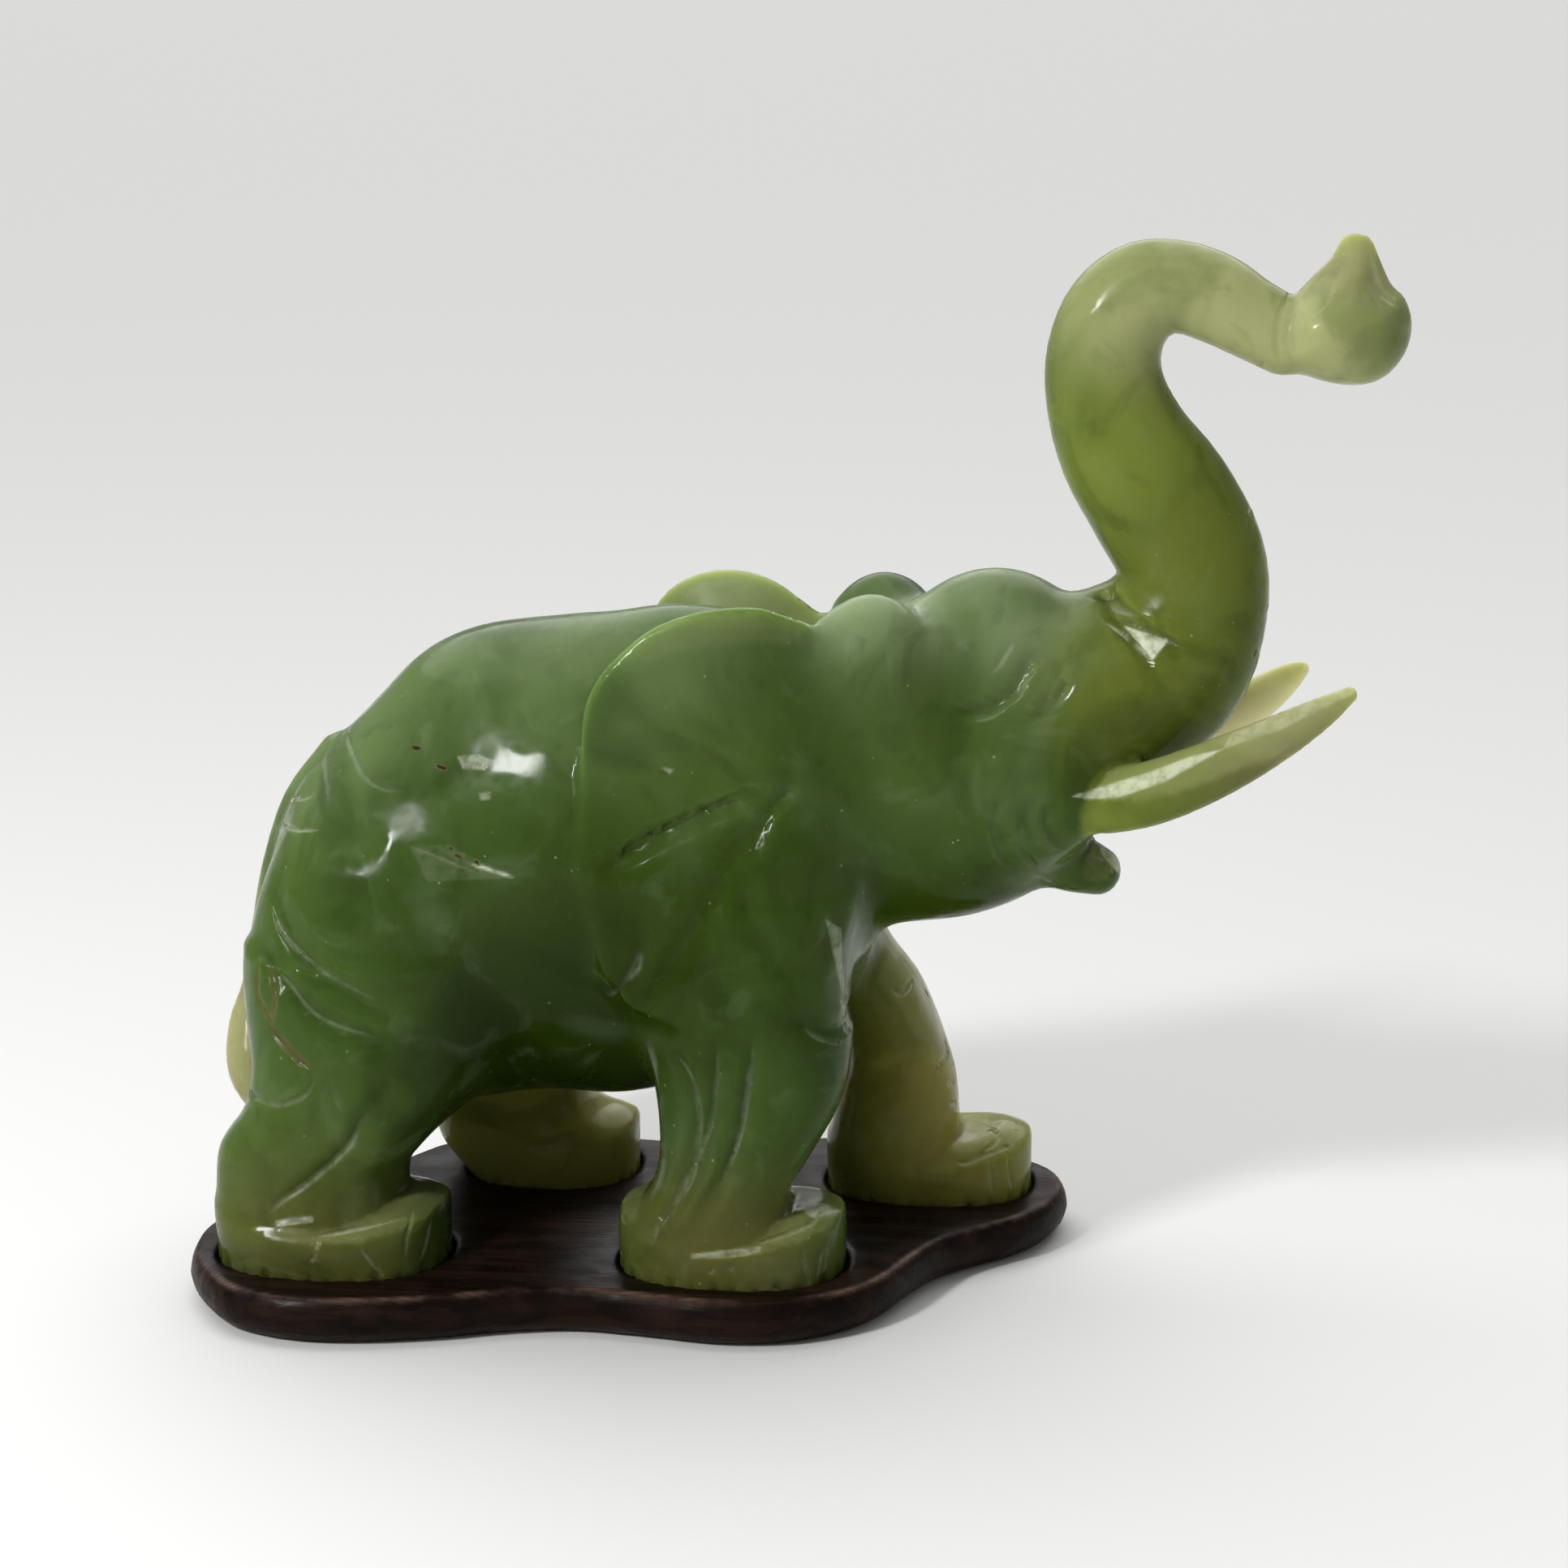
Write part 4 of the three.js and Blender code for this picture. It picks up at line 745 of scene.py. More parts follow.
def seat_cuts():
    """The finer cuts as lines in space, each with its half width, depth and frost."""
    rows = [(group, *row) for group, lines in FINE_CUTS.items() for row in lines]
    places = on_the_stone([pixel for row in rows for pixel in row[1]])
    cuts = []
    far_places = []
    far_rows = []
    start = 0
    for group, line, width, depth, frost_and_glint in rows:
        path = places[start : start + len(line)]
        start += len(line)
        cuts.append((smooth_rows(path, 3), width * WIDER, depth * SHALLOWER, frost_and_glint))
        if group in MIRRORED_CUTS and frost_and_glint > 0:
            far_places.append(path + np.array([MIRRORED_CUTS[group], 0.0, 0.0]))
            far_rows.append((len(line), width, depth, frost_and_glint))
    across = on_the_far_side(np.vstack(far_places))
    start = 0
    for length, width, depth, frost_and_glint in far_rows:
        line = smooth_rows(across[start : start + length], 3)
        cuts.append((line, width * WIDER, depth * SHALLOWER, 0.7 * frost_and_glint))
        start += length
    return cuts


def fine_carving(p, cuts):
    """How much the finer cuts take off, the frost and painted highlight on them, the painted shadow and dark
    specks in them, and how near their edge is, in mm.
    """
    cut = np.zeros(len(p))
    frost_and_glint = np.zeros(len(p))
    shadow_and_specks = np.zeros(len(p))
    edge = np.full(len(p), 9.0)
    for line, width, depth, pale in cuts:
        near = np.flatnonzero(within(p, line.min(0), line.max(0), width + 1.5))
        if not len(near):
            continue
        q = p[near]
        best, span, part = nearest_on(line, q)
        along = (span + part) / (len(line) - 1)
        lower = line[span, 2] + part * (line[span + 1, 2] - line[span, 2]) - q[:, 2]
        taper = np.clip(0.4 + 3.0 * np.minimum(along, 1.0 - along), 0, 1)
        share = np.clip(best / (width * taper), 0, 1)
        cut[near] += depth * taper * (1.0 - share**2) ** 2
        if pale < 0:
            shadow_and_specks[near] = np.maximum(shadow_and_specks[near], -pale * np.clip(2.2 * (1.0 - share), 0, 1))
        # a single bright line: frosting with a painted highlight along the cut
        elif pale > BRIGHT:
            bright = np.exp(-((share / 0.5) ** 2))
            frost_and_glint[near] = np.maximum(frost_and_glint[near], pale * taper * bright * (share < 1))
        else:
            # the pale edge lies a little out from the middle, and mostly on the lower side, which faces up:
            # partly frosting, partly a painted highlight on the cut's lip
            rim = np.exp(-(((share - 0.45) / 0.3) ** 2)) * np.clip(0.5 + 1.5 * lower / width, 0.2, 1.0)
            frost_and_glint[near] = np.maximum(frost_and_glint[near], 0.6 * pale * taper * rim * (share < 1))
        edge[near] = np.minimum(edge[near], best - width)
    return cut, frost_and_glint, shadow_and_specks, edge


def foot_chips(p):
    """Small scallops chipped off the lowest edge of every foot."""
    low = np.flatnonzero(p[:, 2] < CHIP_TOP + 0.5)
    cut = np.zeros(len(p))
    for cx, cy, rx, ry in FEET.values():
        q = p[low]
        close = np.maximum(np.abs(q[:, 0] - cx) / rx, np.abs(q[:, 1] - cy) / ry) < 1.15
        turn = np.arctan2(q[:, 1] - cy, q[:, 0] - cx)
        bite = np.clip(np.sin(turn * CHIPS_ROUND + cx) + 0.4 * np.sin(turn * 11.0), 0, 1) ** 1.5
        fade = 1.0 - ramp(q[:, 2], CHIP_LOW, CHIP_TOP)
        cut[low] = np.maximum(cut[low], close * bite * CHIP_DEPTH * fade)
    return cut


def stand_field(p):
    """Distance to the wooden stand with a seat for each foot."""
    inset = np.interp(p[:, 2], [row[0] for row in STAND_SIDE], [row[1] for row in STAND_SIDE])
    value = outline_distance(p[:, :2], STAND_RING) + inset
    value = smooth_max(value, p[:, 2] - STAND_HEIGHT, 0.5)
    value = np.maximum(value, -p[:, 2])
    for cx, cy, rx, ry in FEET.values():
        wall = foot_wall(p, cx, cy, rx + SEAT_GAP, ry + SEAT_GAP)
        value = np.maximum(value, -np.maximum(wall, RECESS_FLOOR - p[:, 2]))
    return value


def sample(field, low, step, size):
    """The field on a grid: exact near the surface, only its sign far from it."""
    blocks = (size - 1) // BLOCK
    middles = [(np.arange(n) + 0.5) * BLOCK * step for n in blocks]
    centres = np.stack(np.meshgrid(*middles, indexing="ij"), -1).reshape(-1, 3) + low
    rough = field(centres).reshape(tuple(blocks))
    close = np.abs(rough) < BLOCK * step * 1.35 + 1.0
    shift = np.stack(np.meshgrid(*[np.arange(BLOCK + 1)] * 3, indexing="ij"), -1).reshape(-1, 3)
    cells = np.argwhere(close) * BLOCK
    nodes = (cells[:, None] + shift).reshape(-1, 3)
    index = np.unique(np.ravel_multi_index(tuple(nodes.T), tuple(size)))
    which = [np.minimum(np.arange(n) // BLOCK, b - 1) for n, b in zip(size, blocks)]
    values = np.where(rough < 0, -99.0, 99.0)[np.ix_(*which)]
    places = np.stack(np.unravel_index(index, tuple(size)), 1) * step + low
    values.reshape(-1)[index] = field(places)
    return values


def untangle(values):
    """Fills the outer corner wherever the solid would only touch itself across a corner."""
    for _ in range(6):
        changed = 0
        for u, v in ((1, 2), (0, 2), (0, 1)):
            step_u, step_v = np.eye(3, dtype=int)[[u, v]]
            ends = [np.zeros(3, int), step_u, step_u + step_v, step_v]
            parts = []
            for e in ends:
                last = np.array(values.shape) - (step_u + step_v) + e
                parts.append(values[tuple(slice(a, b) for a, b in zip(e, last))])
            a, b, c, d = [part < 0 for part in parts]
            torn = (a != b) & (a == c) & (b == d)
            for place in np.argwhere(torn):
                corners = [tuple(place + e) for e in ends]
                outer = [corner for corner in corners if values[corner] >= 0]
                if len(outer) == 2:
                    values[min(outer, key=lambda corner: values[corner])] = -1e-3
                    changed += 1
        if not changed:
            break


def surface_net(values, low, step):
    """A closed net of four-sided cells on the zero level."""
    solid = values < 0
    size = np.array(values.shape)
    corners = np.array([(i, j, k) for i in (0, 1) for j in (0, 1) for k in (0, 1)])
    full = np.zeros(size - 1, int)
    for corner in corners:
        full += solid[tuple(slice(c, n - 1 + c) for c, n in zip(corner, size))]
    active = (full > 0) & (full < 8)
    cell = np.argwhere(active)
    number = np.full(active.shape, -1)
    number[active] = np.arange(len(cell))
    total = np.zeros((len(cell), 3))
    hits = np.zeros(len(cell))
    for corner in corners:
        for axis in range(3):
            if corner[axis]:
                continue
            other = corner + np.eye(3, dtype=int)[axis]
            here = values[tuple((cell + corner).T)]
            there = values[tuple((cell + other).T)]
            crossed = (here < 0) != (there < 0)
            t = np.where(crossed, here / np.where(crossed, here - there, 1.0), 0.0)
            total += (corner + t[:, None] * (other - corner)) * crossed[:, None]
            hits += crossed
    points = (cell + total / hits[:, None]) * step + low
    quads = []
    for axis in range(3):
        u, v = np.eye(3, dtype=int)[[(axis + 1) % 3, (axis + 2) % 3]]
        along = np.eye(3, dtype=int)[axis]
        first = solid[tuple(slice(0, n - a) for n, a in zip(size, along))]
        second = solid[tuple(slice(a, n) for n, a in zip(size, along))]
        edge = np.argwhere(first != second)
        ring = np.stack([number[tuple((edge - away).T)] for away in (u + v, v, 0 * u, u)], 1)
        outside = ~solid[tuple(edge.T)]
        ring[outside] = ring[outside][:, ::-1]
        quads.append(ring)
    return points, np.concatenate(quads)


def settle(points, field):
    """Moves every point onto the zero level along the field's slope."""
    probe = 0.05
    longest = 0.8
    here = field(points)
    slope = np.stack([field(points + probe * axis) - here for axis in np.eye(3)], 1) / probe
    amount = here[:, None] * slope / np.maximum((slope**2).sum(1), 0.2)[:, None]
    length = np.linalg.norm(amount, axis=1, keepdims=True)
    return points - amount * np.minimum(1.0, longest / np.maximum(length, 1e-9))


def split_edges(points, faces, marked):
    """Every marked edge gets a point at its middle, and its triangles become two, three or four."""
    ends = np.sort(np.stack([faces, np.roll(faces, -1, 1)], 2), 2).reshape(-1, 2)
    keys, which = np.unique(ends[:, 0] * len(points) + ends[:, 1], return_inverse=True)
    edges = np.stack([keys // len(points), keys % len(points)], 1)
    split = marked(points, edges)
    fresh = np.full(len(edges), -1)
    fresh[split] = len(points) + np.arange(split.sum())
    middles = points[edges[split]].mean(1)
    mid = fresh[which.reshape(-1, 3)]
    count = (mid >= 0).sum(1)
    turn = np.where(count == 1, np.argmax(mid >= 0, 1), (np.argmin(mid >= 0, 1) + 1) % 3)
    columns = (turn[:, None] + np.arange(3)) % 3
    a, b, c = np.take_along_axis(faces, columns, 1).T
    m, n, o = np.take_along_axis(mid, columns, 1).T
    one, two, three = (count == 1, count == 2, count == 3)
    parts = [faces[count == 0]]
    for chosen, corners in (
        (one, ((a, m, c), (m, b, c))),
        (two, ((m, b, n), (a, m, n), (a, n, c))),
        (three, ((a, m, o), (m, b, n), (o, n, c), (m, n, o))),
    ):
        parts += [np.stack(corner, 1)[chosen] for corner in corners]
    return np.vstack([points, middles]), np.vstack(parts)


def point_normals(points, faces):
    a, b, c = points[faces[:, 0]], points[faces[:, 1]], points[faces[:, 2]]
    normal = np.cross(b - a, c - a)
    total = np.zeros_like(points)
    for corner in range(3):
        for axis in range(3):
            total[:, axis] += np.bincount(faces[:, corner], normal[:, axis], len(points))
    return total / np.maximum(np.linalg.norm(total, axis=1), 1e-12)[:, None]


def net_of(field, box, step, rounds):
    """A net on the field's zero level inside the box, settled onto it that many times."""
    low, high = np.asarray(box, float)
    size = np.ceil((high - low) / step / BLOCK).astype(int) * BLOCK + 1
    values = sample(field, low, step, size)
    untangle(values)
    points, quads = surface_net(values, low, step)
    for _ in range(rounds):
        points = settle(points, field)
    return points, quads


def triangles_of(points, quads):
    """Each four-sided cell cut in two along its shorter diagonal."""
    first = np.linalg.norm(points[quads[:, 0]] - points[quads[:, 2]], axis=1)
    second = np.linalg.norm(points[quads[:, 1]] - points[quads[:, 3]], axis=1)
    quads = np.where((first <= second)[:, None], quads, np.roll(quads, -1, 1))
    return np.vstack([quads[:, [0, 1, 2]], quads[:, [0, 2, 3]]])


def add_object(name, data):
    piece = bpy.data.objects.new(name, data)
    bpy.context.collection.objects.link(piece)
    return piece


def mesh_object(name, points, faces):
    mesh = bpy.data.meshes.new(name)
    mesh.from_pydata((points * MM).tolist(), [], faces.tolist())
    mesh.polygons.foreach_set("use_smooth", np.ones(len(faces), bool))
    mesh.update()
    return add_object(name, mesh)


def write_attribute(piece, name, numbers):
    layer = piece.data.attributes.new(name, "FLOAT", "POINT")
    layer.data.foreach_set("value", np.asarray(numbers, np.float32))


def linear(code):
    """A six-digit colour as linear red, green and blue."""
    parts = np.array([int(code[i : i + 2], 16) for i in (0, 2, 4)]) / 255.0
    return np.where(parts <= 0.04045, parts / 12.92, ((parts + 0.055) / 1.055) ** 2.4)


def shade(code):
    return (*linear(code), 1.0)


# the stone's colours, from its dark green heart to its straw-coloured thin ends and brownish feet, and
# painted light and shade: a near-black painted shade, a grey painted sheen and glow, and a pale painted
# highlight and glow
GREENS = {
    # painted shade for the belly and the low flank
    "underside_shade": "1c2b02",
    "deep": "2d4104",
    "moss": "3f5520",
    "leaf": "4a5d28",
    "sage": "5f7246",
    # painted sheen on the tops and painted glow in the thin far ear
    "sheen_and_glow": "84946e",
    "khaki": "5c5a2b",
    "olive": "6a732b",
    "straw": "7b8739",
    "bark": "857f3a",
    # painted highlight on the trunk's bend and painted glow in its thin end
    "pale": "adaf7e",
    "beige": "88815e",
    "ivory": "f0e4bc",
}

# where each colour lies: place in mm, spread in mm, colour and weight
STONE_TINTS = [
    # belly, flank and saddle: darker low down as painted shade, lighter on the saddle as painted sheen
    ((-8, -36, 52), 24, "underside_shade", 1.5),
    ((-12, -38, 70), 18, "underside_shade", 0.8),
    ((-26, -34, 88), 16, "moss", 0.8),
    ((-22, -20, 118), 15, "sage", 0.8),
    ((-10, 0, 130), 16, "sage", 0.7),
    # rump, haunch and root of the tail; the rump's top lighter as painted sheen
    ((-56, -12, 104), 16, "sage", 1.0),
    ((-66, -16, 84), 14, "leaf", 0.9),
    ((-62, -30, 66), 14, "moss", 0.8),
    ((-45, -36, 55), 14, "moss", 0.8),
    # ear and shoulder: the ear's top lighter as painted sheen, the shoulder below it darker as painted shade
    ((8, -28, 128), 11, "sage", 1.6),
    ((2, -31, 118), 9, "sage", 1.2),
    ((14, -34, 106), 13, "leaf", 1.0),
    ((16, -38, 80), 18, "deep", 1.1),
    ((32, -34, 66), 14, "moss", 0.9),
    # head: the tops of the domes and brow lighter as painted sheen, under the jaw darker as painted shade
    ((46, -12, 134), 10, "sheen_and_glow", 1.2),
    ((68, -6, 134), 13, "sheen_and_glow", 1.2),
    ((60, -22, 110), 15, "leaf", 0.9),
    ((68, -22, 95), 13, "moss", 0.9),
    ((58, -14, 78), 13, "deep", 1.1),
    ((84, -6, 84), 10, "leaf", 1.4),
    # trunk and the bud at its end: lighter toward the thin end as painted glow, with a painted highlight on
    # the bend
    ((94, -8, 116), 13, "olive", 1.5),
    ((102, -6, 142), 14, "olive", 1.2),
    ((92, -6, 164), 12, "straw", 1.2),
    ((94, -4, 186), 11, "pale", 1.0),
    ((110, -4, 186), 10, "pale", 1.2),
    ((130, -4, 184), 13, "pale", 1.2),
    ((141, -6, 184), 6, "sage", 1.0),
    ((132, -2, 198), 8, "beige", 1.6),
    # legs and feet
    ((-58, -32, 34), 13, "leaf", 0.9),
    ((-56, -34, 13), 13, "khaki", 1.8),
    ((20, -34, 42), 13, "moss", 0.9),
    ((20, -34, 14), 13, "khaki", 1.8),
    ((48, 24, 40), 16, "bark", 1.6),
    ((56, 22, 14), 15, "bark", 1.6),
    ((-24, 24, 18), 16, "bark", 2.4),
    # far ear, lighter as painted glow where it is thin
    ((14, 30, 132), 8, "sheen_and_glow", 0.9),
]

# tusks and tail: their line, squeeze sideways, and colour at root and tip
LIMB_TINTS = [
    (TUSK_NEAR, TUSK_FLAT, "straw", "beige"),
    (TUSK_FAR, TUSK_FLAT, "ivory", "ivory"),
    (TAIL, TAIL_FLAT, "sage", "beige"),
]


def stone_colours(points):
    """The stone's cloudy change of colour from place to place, with painted shade low down and painted sheen,
    highlight and glow higher up and at the thin ends, as linear colours.
    """
    total = np.tile(linear(GREENS["moss"]) * 0.2, (len(points), 1))
    weight = np.full(len(points), 0.2)
    for centre, spread, shade_name, share in STONE_TINTS:
        away = ((points - np.asarray(centre, float)) ** 2).sum(1) / spread**2
        amount = share * np.exp(-away)
        total += amount[:, None] * linear(GREENS[shade_name])
        weight += amount
    colours = total / weight[:, None]
    for path, flat, root, tip in LIMB_TINTS:
        ends = np.array([path[0][:3], path[-1][:3]], float)
        run = ends[1] - ends[0]
        near = np.flatnonzero(within(points, ends.min(0), ends.max(0), 12))
        along = ramp((points[near] - ends[0]) @ run / (run @ run), 0.25, 0.85)[:, None]
        own = ramp(-limb(points[near], path, flat), -1.2, -0.1)[:, None]
        tint = linear(GREENS[root]) * (1.0 - along) + linear(GREENS[tip]) * along
        colours[near] = colours[near] * (1.0 - own) + tint * own
    return colours


def seat_frosted_and_glints():
    """The frosted faces and painted highlights: outline in the photograph, how pale, and their middle in
    space.
    """
    middles = on_the_stone([np.mean(outline, axis=0) for outline, _ in FROSTED_AND_GLINTS])
    return [(np.asarray(outline, float), pale, middle) for (outline, pale), middle in zip(FROSTED_AND_GLINTS, middles)]


def frosted_and_glint_faces(points, faces):
    """How frosted or painted with a highlight each point is, and how near it is to the edge of such a face,
    in mm.
    """
    pale = np.zeros(len(points))
    edge = np.full(len(points), 9.0)
    for outline, amount, middle in faces:
        near = np.flatnonzero(np.linalg.norm(points - middle, axis=1) < FACE_REACH)
        if not len(near):
            continue
        gap = outline_distance(in_the_photograph(points[near]), outline) * DISTANCE / FOCAL
        pale[near] = np.maximum(pale[near], amount * ramp(-gap, -0.2, 0.25))
        edge[near] = np.minimum(edge[near], np.abs(gap) - 0.4)
    return pale, edge


def make_elephant():
    cuts = seat_cuts()
    faces = seat_frosted_and_glints()

    def field(p):
        value = stone(p)
        shallow = np.flatnonzero(np.abs(value) < FINE_REACH)
        value[shallow] += fine_carving(p[shallow], cuts)[0] + foot_chips(p[shallow])
        return np.maximum(value, FOOT_LOW - p[:, 2])

    points, quads = net_of(stone, STONE_BOX, STONE_STEP, 1)
    triangles = triangles_of(points, quads)
    for round_number in range(SPLIT_ROUNDS):
        normals = point_normals(points, triangles)

        def marked(p, edges):
            a, b = p[edges[:, 0]], p[edges[:, 1]]
            length = np.linalg.norm(b - a, axis=1)
            middle = (a + b) / 2
            gap = np.minimum(fine_carving(middle, cuts)[3], frosted_and_glint_faces(middle, faces)[1])
            bend = (normals[edges[:, 0]] * normals[edges[:, 1]]).sum(1)
            sharp = (bend < SHARP_BEND) & (round_number == 0) & (length > 0.8)
            return (length > FINEST_EDGE) & ((gap < 0.3 * length) | sharp)

        points, triangles = split_edges(points, triangles, marked)
    for _ in range(2):
        points = settle(points, field)
    piece = mesh_object("jade_carving", points, triangles)
    normals = point_normals(points, triangles)
    thin = np.zeros(len(points))
    for depth in THIN_DEPTHS:
        thin += ramp(stone(points - normals * depth), -2.0, 1.5) / len(THIN_DEPTHS)
    _, frost_and_glint, shadow_and_specks, _ = fine_carving(points, cuts)
    pale, _ = frosted_and_glint_faces(points, faces)
    # the outlines are flat, so only what faces the photograph's camera is frosted or given its painted
    # highlight
    pale = pale * (normals @ camera_axes()[2] > 0.05)
    write_attribute(piece, "thin", thin)
    write_attribute(piece, "frost_and_glint", np.maximum(frost_and_glint, pale))
    write_attribute(piece, "shadow_and_specks", shadow_and_specks)
    colours = np.column_stack([stone_colours(points), np.ones(len(points))])
    layer = piece.data.color_attributes.new("tint", "FLOAT_COLOR", "POINT")
    layer.data.foreach_set("color", colours.astype(np.float32).ravel())
    return piece


def make_stand():
    points, quads = net_of(stand_field, STAND_BOX, STAND_STEP, 2)
    points[:, 2] = np.clip(points[:, 2], 0.0, STAND_HEIGHT)
    piece = mesh_object("stand_carving", points, quads)
    rim = outline_distance(points[:, :2], STAND_RING)
    # the upper edge of the side, where the finish is worn and a painted highlight runs along it
    write_attribute(piece, "arris", np.exp(-((rim + 0.7) ** 2 + (points[:, 2] - 8.9) ** 2) / 0.3))
    return piece


class Nodes:
    """A small helper that adds and joins the nodes of one material."""

    def __init__(self, name):
        self.material = bpy.data.materials.new(name)
        self.material.use_nodes = True
        self.tree = self.material.node_tree
        self.place = self.add("ShaderNodeTexCoord").outputs["Object"]

    def put(self, socket, value):
        if isinstance(value, bpy.types.NodeSocket):
            self.tree.links.new(value, socket)
        else:
            socket.default_value = value

    def add(self, kind, **values):
        """A new node, with its settings and sockets filled in by name."""
        node = self.tree.nodes.new(kind)
        for key, value in values.items():
            if hasattr(node, key):
                setattr(node, key, value)
            else:
                self.put(node.inputs[key], value)
        return node

    def surface(self, **values):
        """Fills in the shader's own sockets."""
        for key, value in values.items():
            self.put(self.tree.nodes["Principled BSDF"].inputs[key.replace("_", " ")], value)

    def attribute(self, name, output="Fac"):
        return self.add("ShaderNodeAttribute", attribute_name=name).outputs[output]

    def math(self, operation, a, b):
        node = self.add("ShaderNodeMath", operation=operation)
        self.put(node.inputs[0], a)
        self.put(node.inputs[1], b)
        return node.outputs[0]

    def times(self, a, b):
        return self.math("MULTIPLY", a, b)

    def mix(self, factor, a, b, blend="MIX"):
        node = self.add("ShaderNodeMix", data_type="RGBA", blend_type=blend, Factor=factor)
        self.put(node.inputs[6], a)
        self.put(node.inputs[7], b)
        return node.outputs[2]

    def noise(self, place, scale, detail, distortion=0.0):
        node = self.add("ShaderNodeTexNoise", Vector=place, Scale=scale, Detail=detail, Distortion=distortion)
        return node.outputs["Fac"]

    def spread(self, value, low, high, to_low=0.0, to_high=1.0):
        node = self.add("ShaderNodeMapRange", interpolation_type="SMOOTHSTEP")
        for socket, number in zip(node.inputs[:5], (value, low, high, to_low, to_high)):
            self.put(socket, number)
        return node.outputs[0]

    def bump(self, height, distance):
        return self.add("ShaderNodeBump", Strength=0.35, Distance=distance, Height=height).outputs["Normal"]


def jade_material():
    n = Nodes("polished_jade")
    tint = n.attribute("tint", "Color")
    thin = n.attribute("thin")
    frost_and_glint = n.attribute("frost_and_glint")
    shadow_and_specks = n.attribute("shadow_and_specks")
    cloud = n.noise(n.place, 24.0, 4.0, 1.0)
    wisp = n.noise(n.place, 48.0, 5.0, 2.4)
    grain = n.noise(n.place, 520.0, 4.0)
    crumbs = n.noise(n.place, 1700.0, 3.0)
    # clouds, wisps and the painted glow of the thin parts, lightened as if lit through from behind
    dull = n.mix(1.0, tint, shade("d2d8c6"), "MULTIPLY")
    base = n.mix(n.spread(cloud, 0.36, 0.50), dull, tint)
    base = n.mix(n.spread(cloud, 0.54, 0.70, 0.0, 0.16), base, shade("7f9370"))
    base = n.mix(n.spread(wisp, 0.56, 0.74, 0.0, 0.08), base, shade("9db08a"))
    base = n.mix(n.spread(wisp, 0.46, 0.32, 0.0, 0.20), base, shade("1c2c08"))
    # painted glow: thin parts lightened toward pale yellow
    base = n.mix(n.spread(thin, 0.25, 0.85, 0.0, 0.4), base, shade("a2a670"))
    # pale pinprick flecks in the clouds
    cells = n.add("ShaderNodeTexVoronoi", Vector=n.place, Scale=240.0).outputs["Distance"]
    dots = n.times(n.spread(cells, 0.075, 0.04), n.spread(cloud, 0.46, 0.56))
    base = n.mix(n.times(dots, 0.35), base, shade("b4c09a"))
    # frosted places and painted highlights, then painted shadow in the cuts by the tail and dark specks in
    # the stone
    frost_and_glint_mask = n.times(frost_and_glint, n.spread(grain, 0.30, 0.62, 0.35, 1.0))
    base = n.mix(n.times(frost_and_glint_mask, 0.9), base, shade("d4d9c2"))
    # painted shadow in the gaps by the tail and dark specks, brown to near black
    shadow_and_speck_mask = n.times(shadow_and_specks, n.spread(grain, 0.30, 0.60, 0.6, 1.0))
    shadow_and_speck_colour = n.mix(n.spread(shadow_and_specks, 0.80, 0.95), shade("665a38"), shade("201d16"))
    # the faint unevenness of hand polishing, and the rough floor of a cut
    polish = n.spread(n.noise(n.place, 150.0, 4.0), 0.38, 0.66, 0.11, 0.28)
    hand = n.noise(n.place, 85.0, 2.0)
    height = n.math("ADD", hand, n.times(n.times(crumbs, frost_and_glint_mask), 0.35))
    n.surface(
        Base_Color=n.mix(shadow_and_speck_mask, base, shadow_and_speck_colour),
        Subsurface_Weight=0.8,
        Subsurface_Radius=(0.85, 1.0, 0.5),
        Subsurface_Scale=0.009,
        IOR=1.52,
        Specular_IOR_Level=0.08,
        Roughness=n.math("ADD", polish, n.times(frost_and_glint_mask, 0.25)),
        Normal=n.bump(height, 0.0012),
    )
    return n.material


def wood_material():
    n = Nodes("dark_rosewood")
    turn = (0.0, 0.0, 0.12)
    along = n.add("ShaderNodeMapping", Vector=n.place, Scale=(0.10, 1.0, 1.0), Rotation=turn).outputs[0]
    streak = n.noise(along, 900.0, 4.0, 0.4)
    band = n.noise(along, 170.0, 3.0, 1.0)
    wear = n.noise(n.place, 130.0, 5.0)
    base = n.mix(n.spread(band, 0.38, 0.62), shade("100906"), shade("22150f"))
    base = n.mix(n.spread(streak, 0.50, 0.68, 0.0, 0.55), base, shade("0b0605"))
    base = n.mix(n.spread(wear, 0.52, 0.70, 0.0, 0.30), base, shade("2c1a15"))
    # the upper edge, lightened partly as wear and partly as a painted highlight
    wear_and_sheen = n.times(n.attribute("arris"), n.spread(n.noise(n.place, 90.0, 5.0), 0.40, 0.62))
    n.surface(
        Base_Color=n.mix(n.times(wear_and_sheen, 0.5), base, shade("86695a")),
        Roughness=n.spread(wear, 0.35, 0.70, 0.30, 0.48),
        Specular_IOR_Level=0.06,
        Normal=n.bump(n.math("ADD", streak, n.times(wear, 0.8)), 0.0004),
    )
    return n.material


def dress(piece, node, material):
    piece.data.materials.append(material)
    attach(piece, "root")
    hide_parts(node)


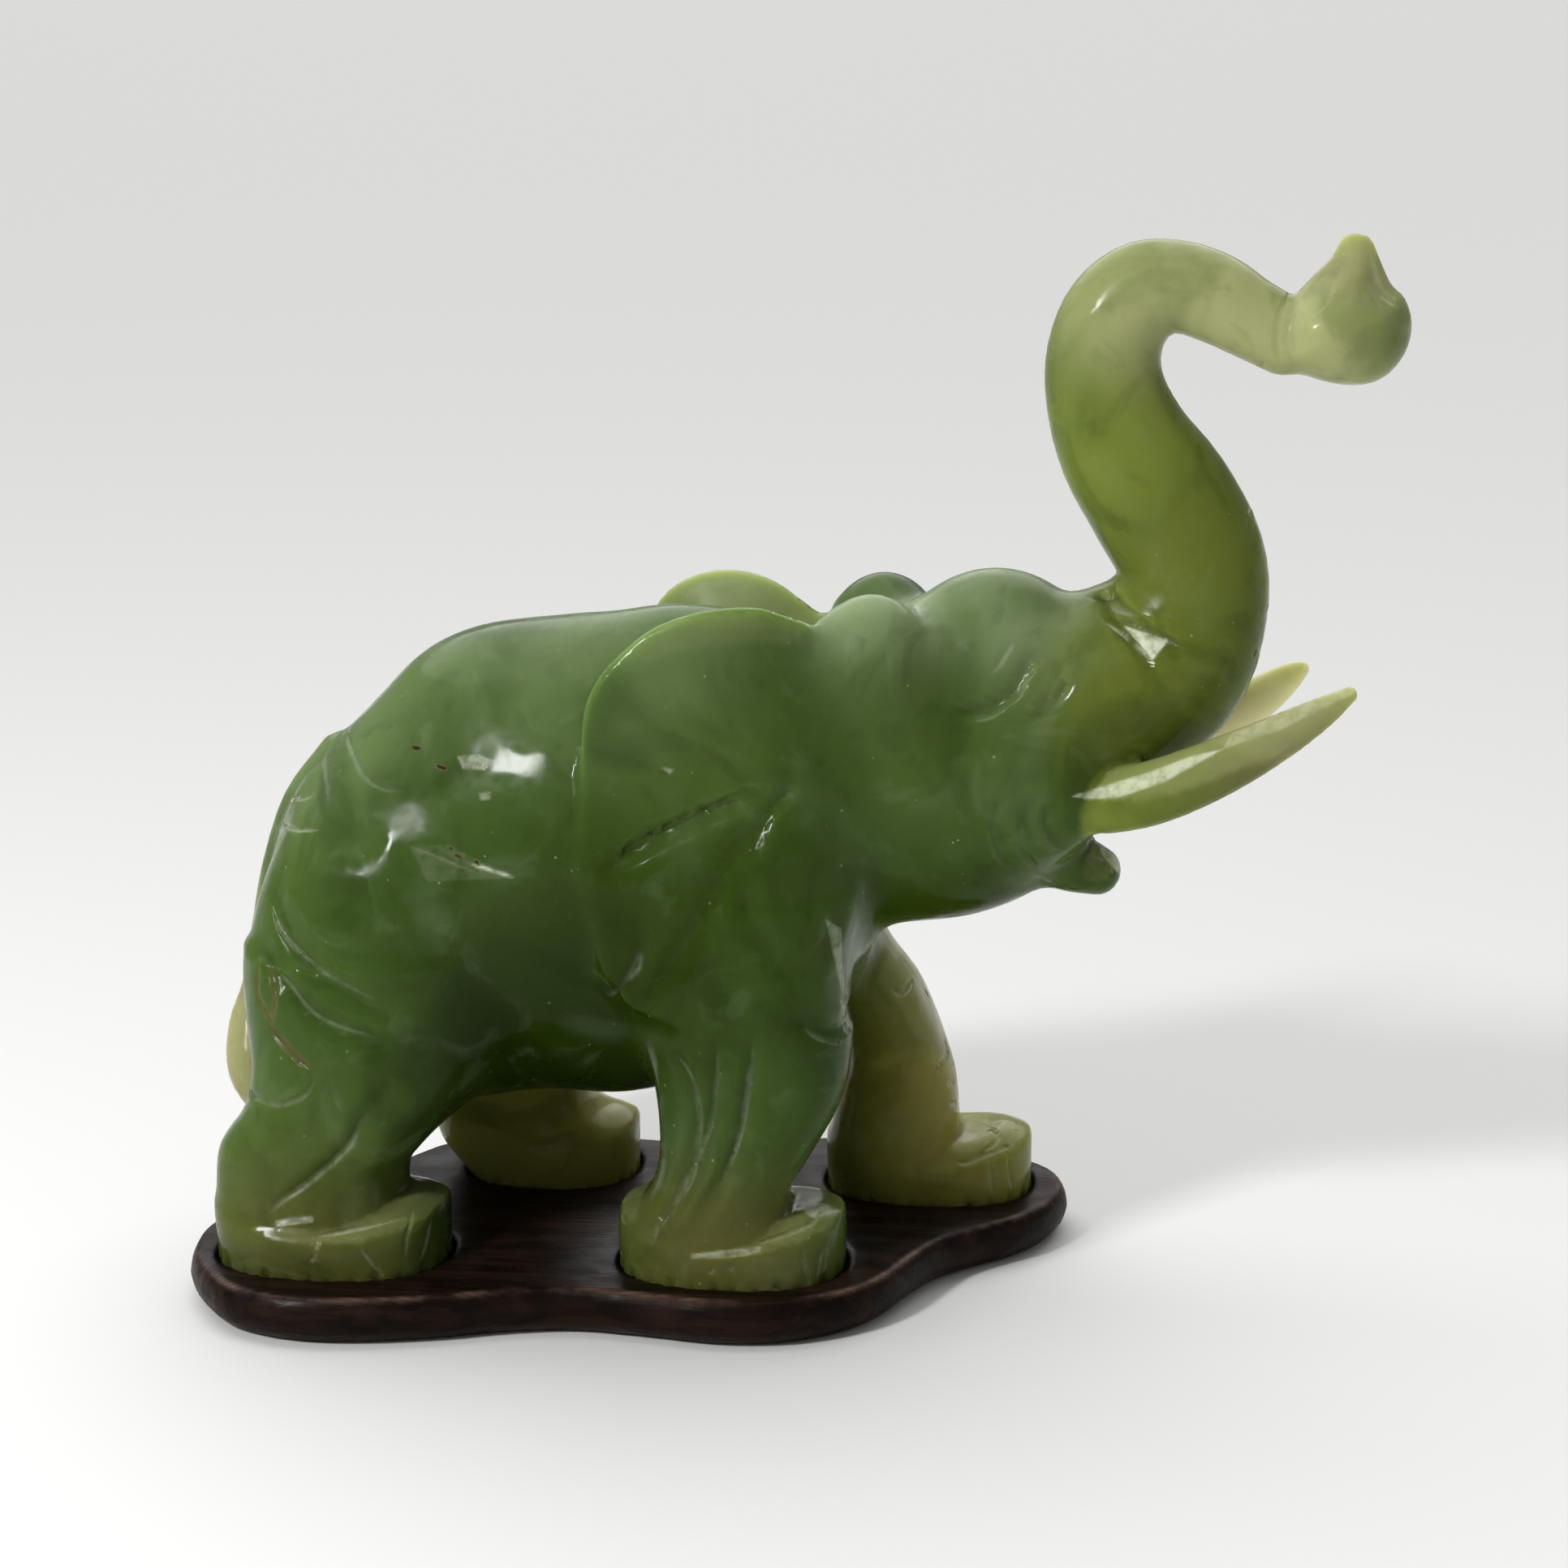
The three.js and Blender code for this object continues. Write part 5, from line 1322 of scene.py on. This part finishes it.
def make_floor():
    mesh = bpy.data.meshes.new("floor")
    corners = [(x * FLOOR_HALF, y * FLOOR_HALF, 0) for x, y in ((-1, -1), (1, -1), (1, 1), (-1, 1))]
    mesh.from_pydata(corners, [], [(0, 1, 2, 3)])
    floor = add_object("floor", mesh)
    floor.location.z = -FLOOR_DROP
    n = Nodes("pale_floor")
    n.surface(Base_Color=(0.70, 0.70, 0.69, 1.0), Roughness=0.9, Specular_IOR_Level=0.2)
    mesh.materials.append(n.material)


def add_lamp(name, kind, direction, strength):
    """A lamp in that direction from the middle of the figure, turned to it."""
    lamp = bpy.data.lights.new(name, kind)
    lamp.energy = strength
    away = Vector(direction).normalized()
    lamp_object = add_object(name, lamp)
    lamp_object.location = Vector(TARGET * MM) + away * LAMP_DISTANCE
    lamp_object.rotation_mode = "QUATERNION"
    lamp_object.rotation_quaternion = away.to_track_quat("Z", "Y")
    return lamp


def make_lights():
    world = bpy.data.worlds.new("studio")
    world.use_nodes = True
    background = world.node_tree.nodes["Background"]
    background.inputs["Color"].default_value = (1.0, 1.0, 1.0, 1.0)
    background.inputs["Strength"].default_value = WORLD_STRENGTH
    bpy.context.scene.world = world
    window = add_lamp("window", "AREA", WINDOW_DIRECTION, WINDOW_POWER)
    window.shape = "RECTANGLE"
    window.size, window.size_y = WINDOW_SIZE
    sky = add_lamp("sky", "SUN", SKY_DIRECTION, SKY_STRENGTH)
    sky.angle = np.radians(SKY_ANGLE)


def make_camera():
    right, up, back = camera_axes()
    camera = bpy.data.cameras.new("camera")
    camera.sensor_width = SENSOR
    camera.lens = SENSOR * FOCAL / PHOTO_WIDTH
    camera.clip_start = 0.02
    camera_object = add_object("camera", camera)
    eye = (TARGET + back * DISTANCE) * MM
    turn = Matrix(np.column_stack([right, up, back]).tolist()).to_4x4()
    camera_object.matrix_world = Matrix.Translation(Vector(eye)) @ turn
    bpy.context.scene.camera = camera_object


make_camera()
make_lights()
make_floor()
dress(make_elephant(), "jade_elephant", jade_material())
dress(make_stand(), "wooden_stand", wood_material())
bpy.context.scene.view_settings.view_transform = "Standard"
bpy.context.view_layer.update()
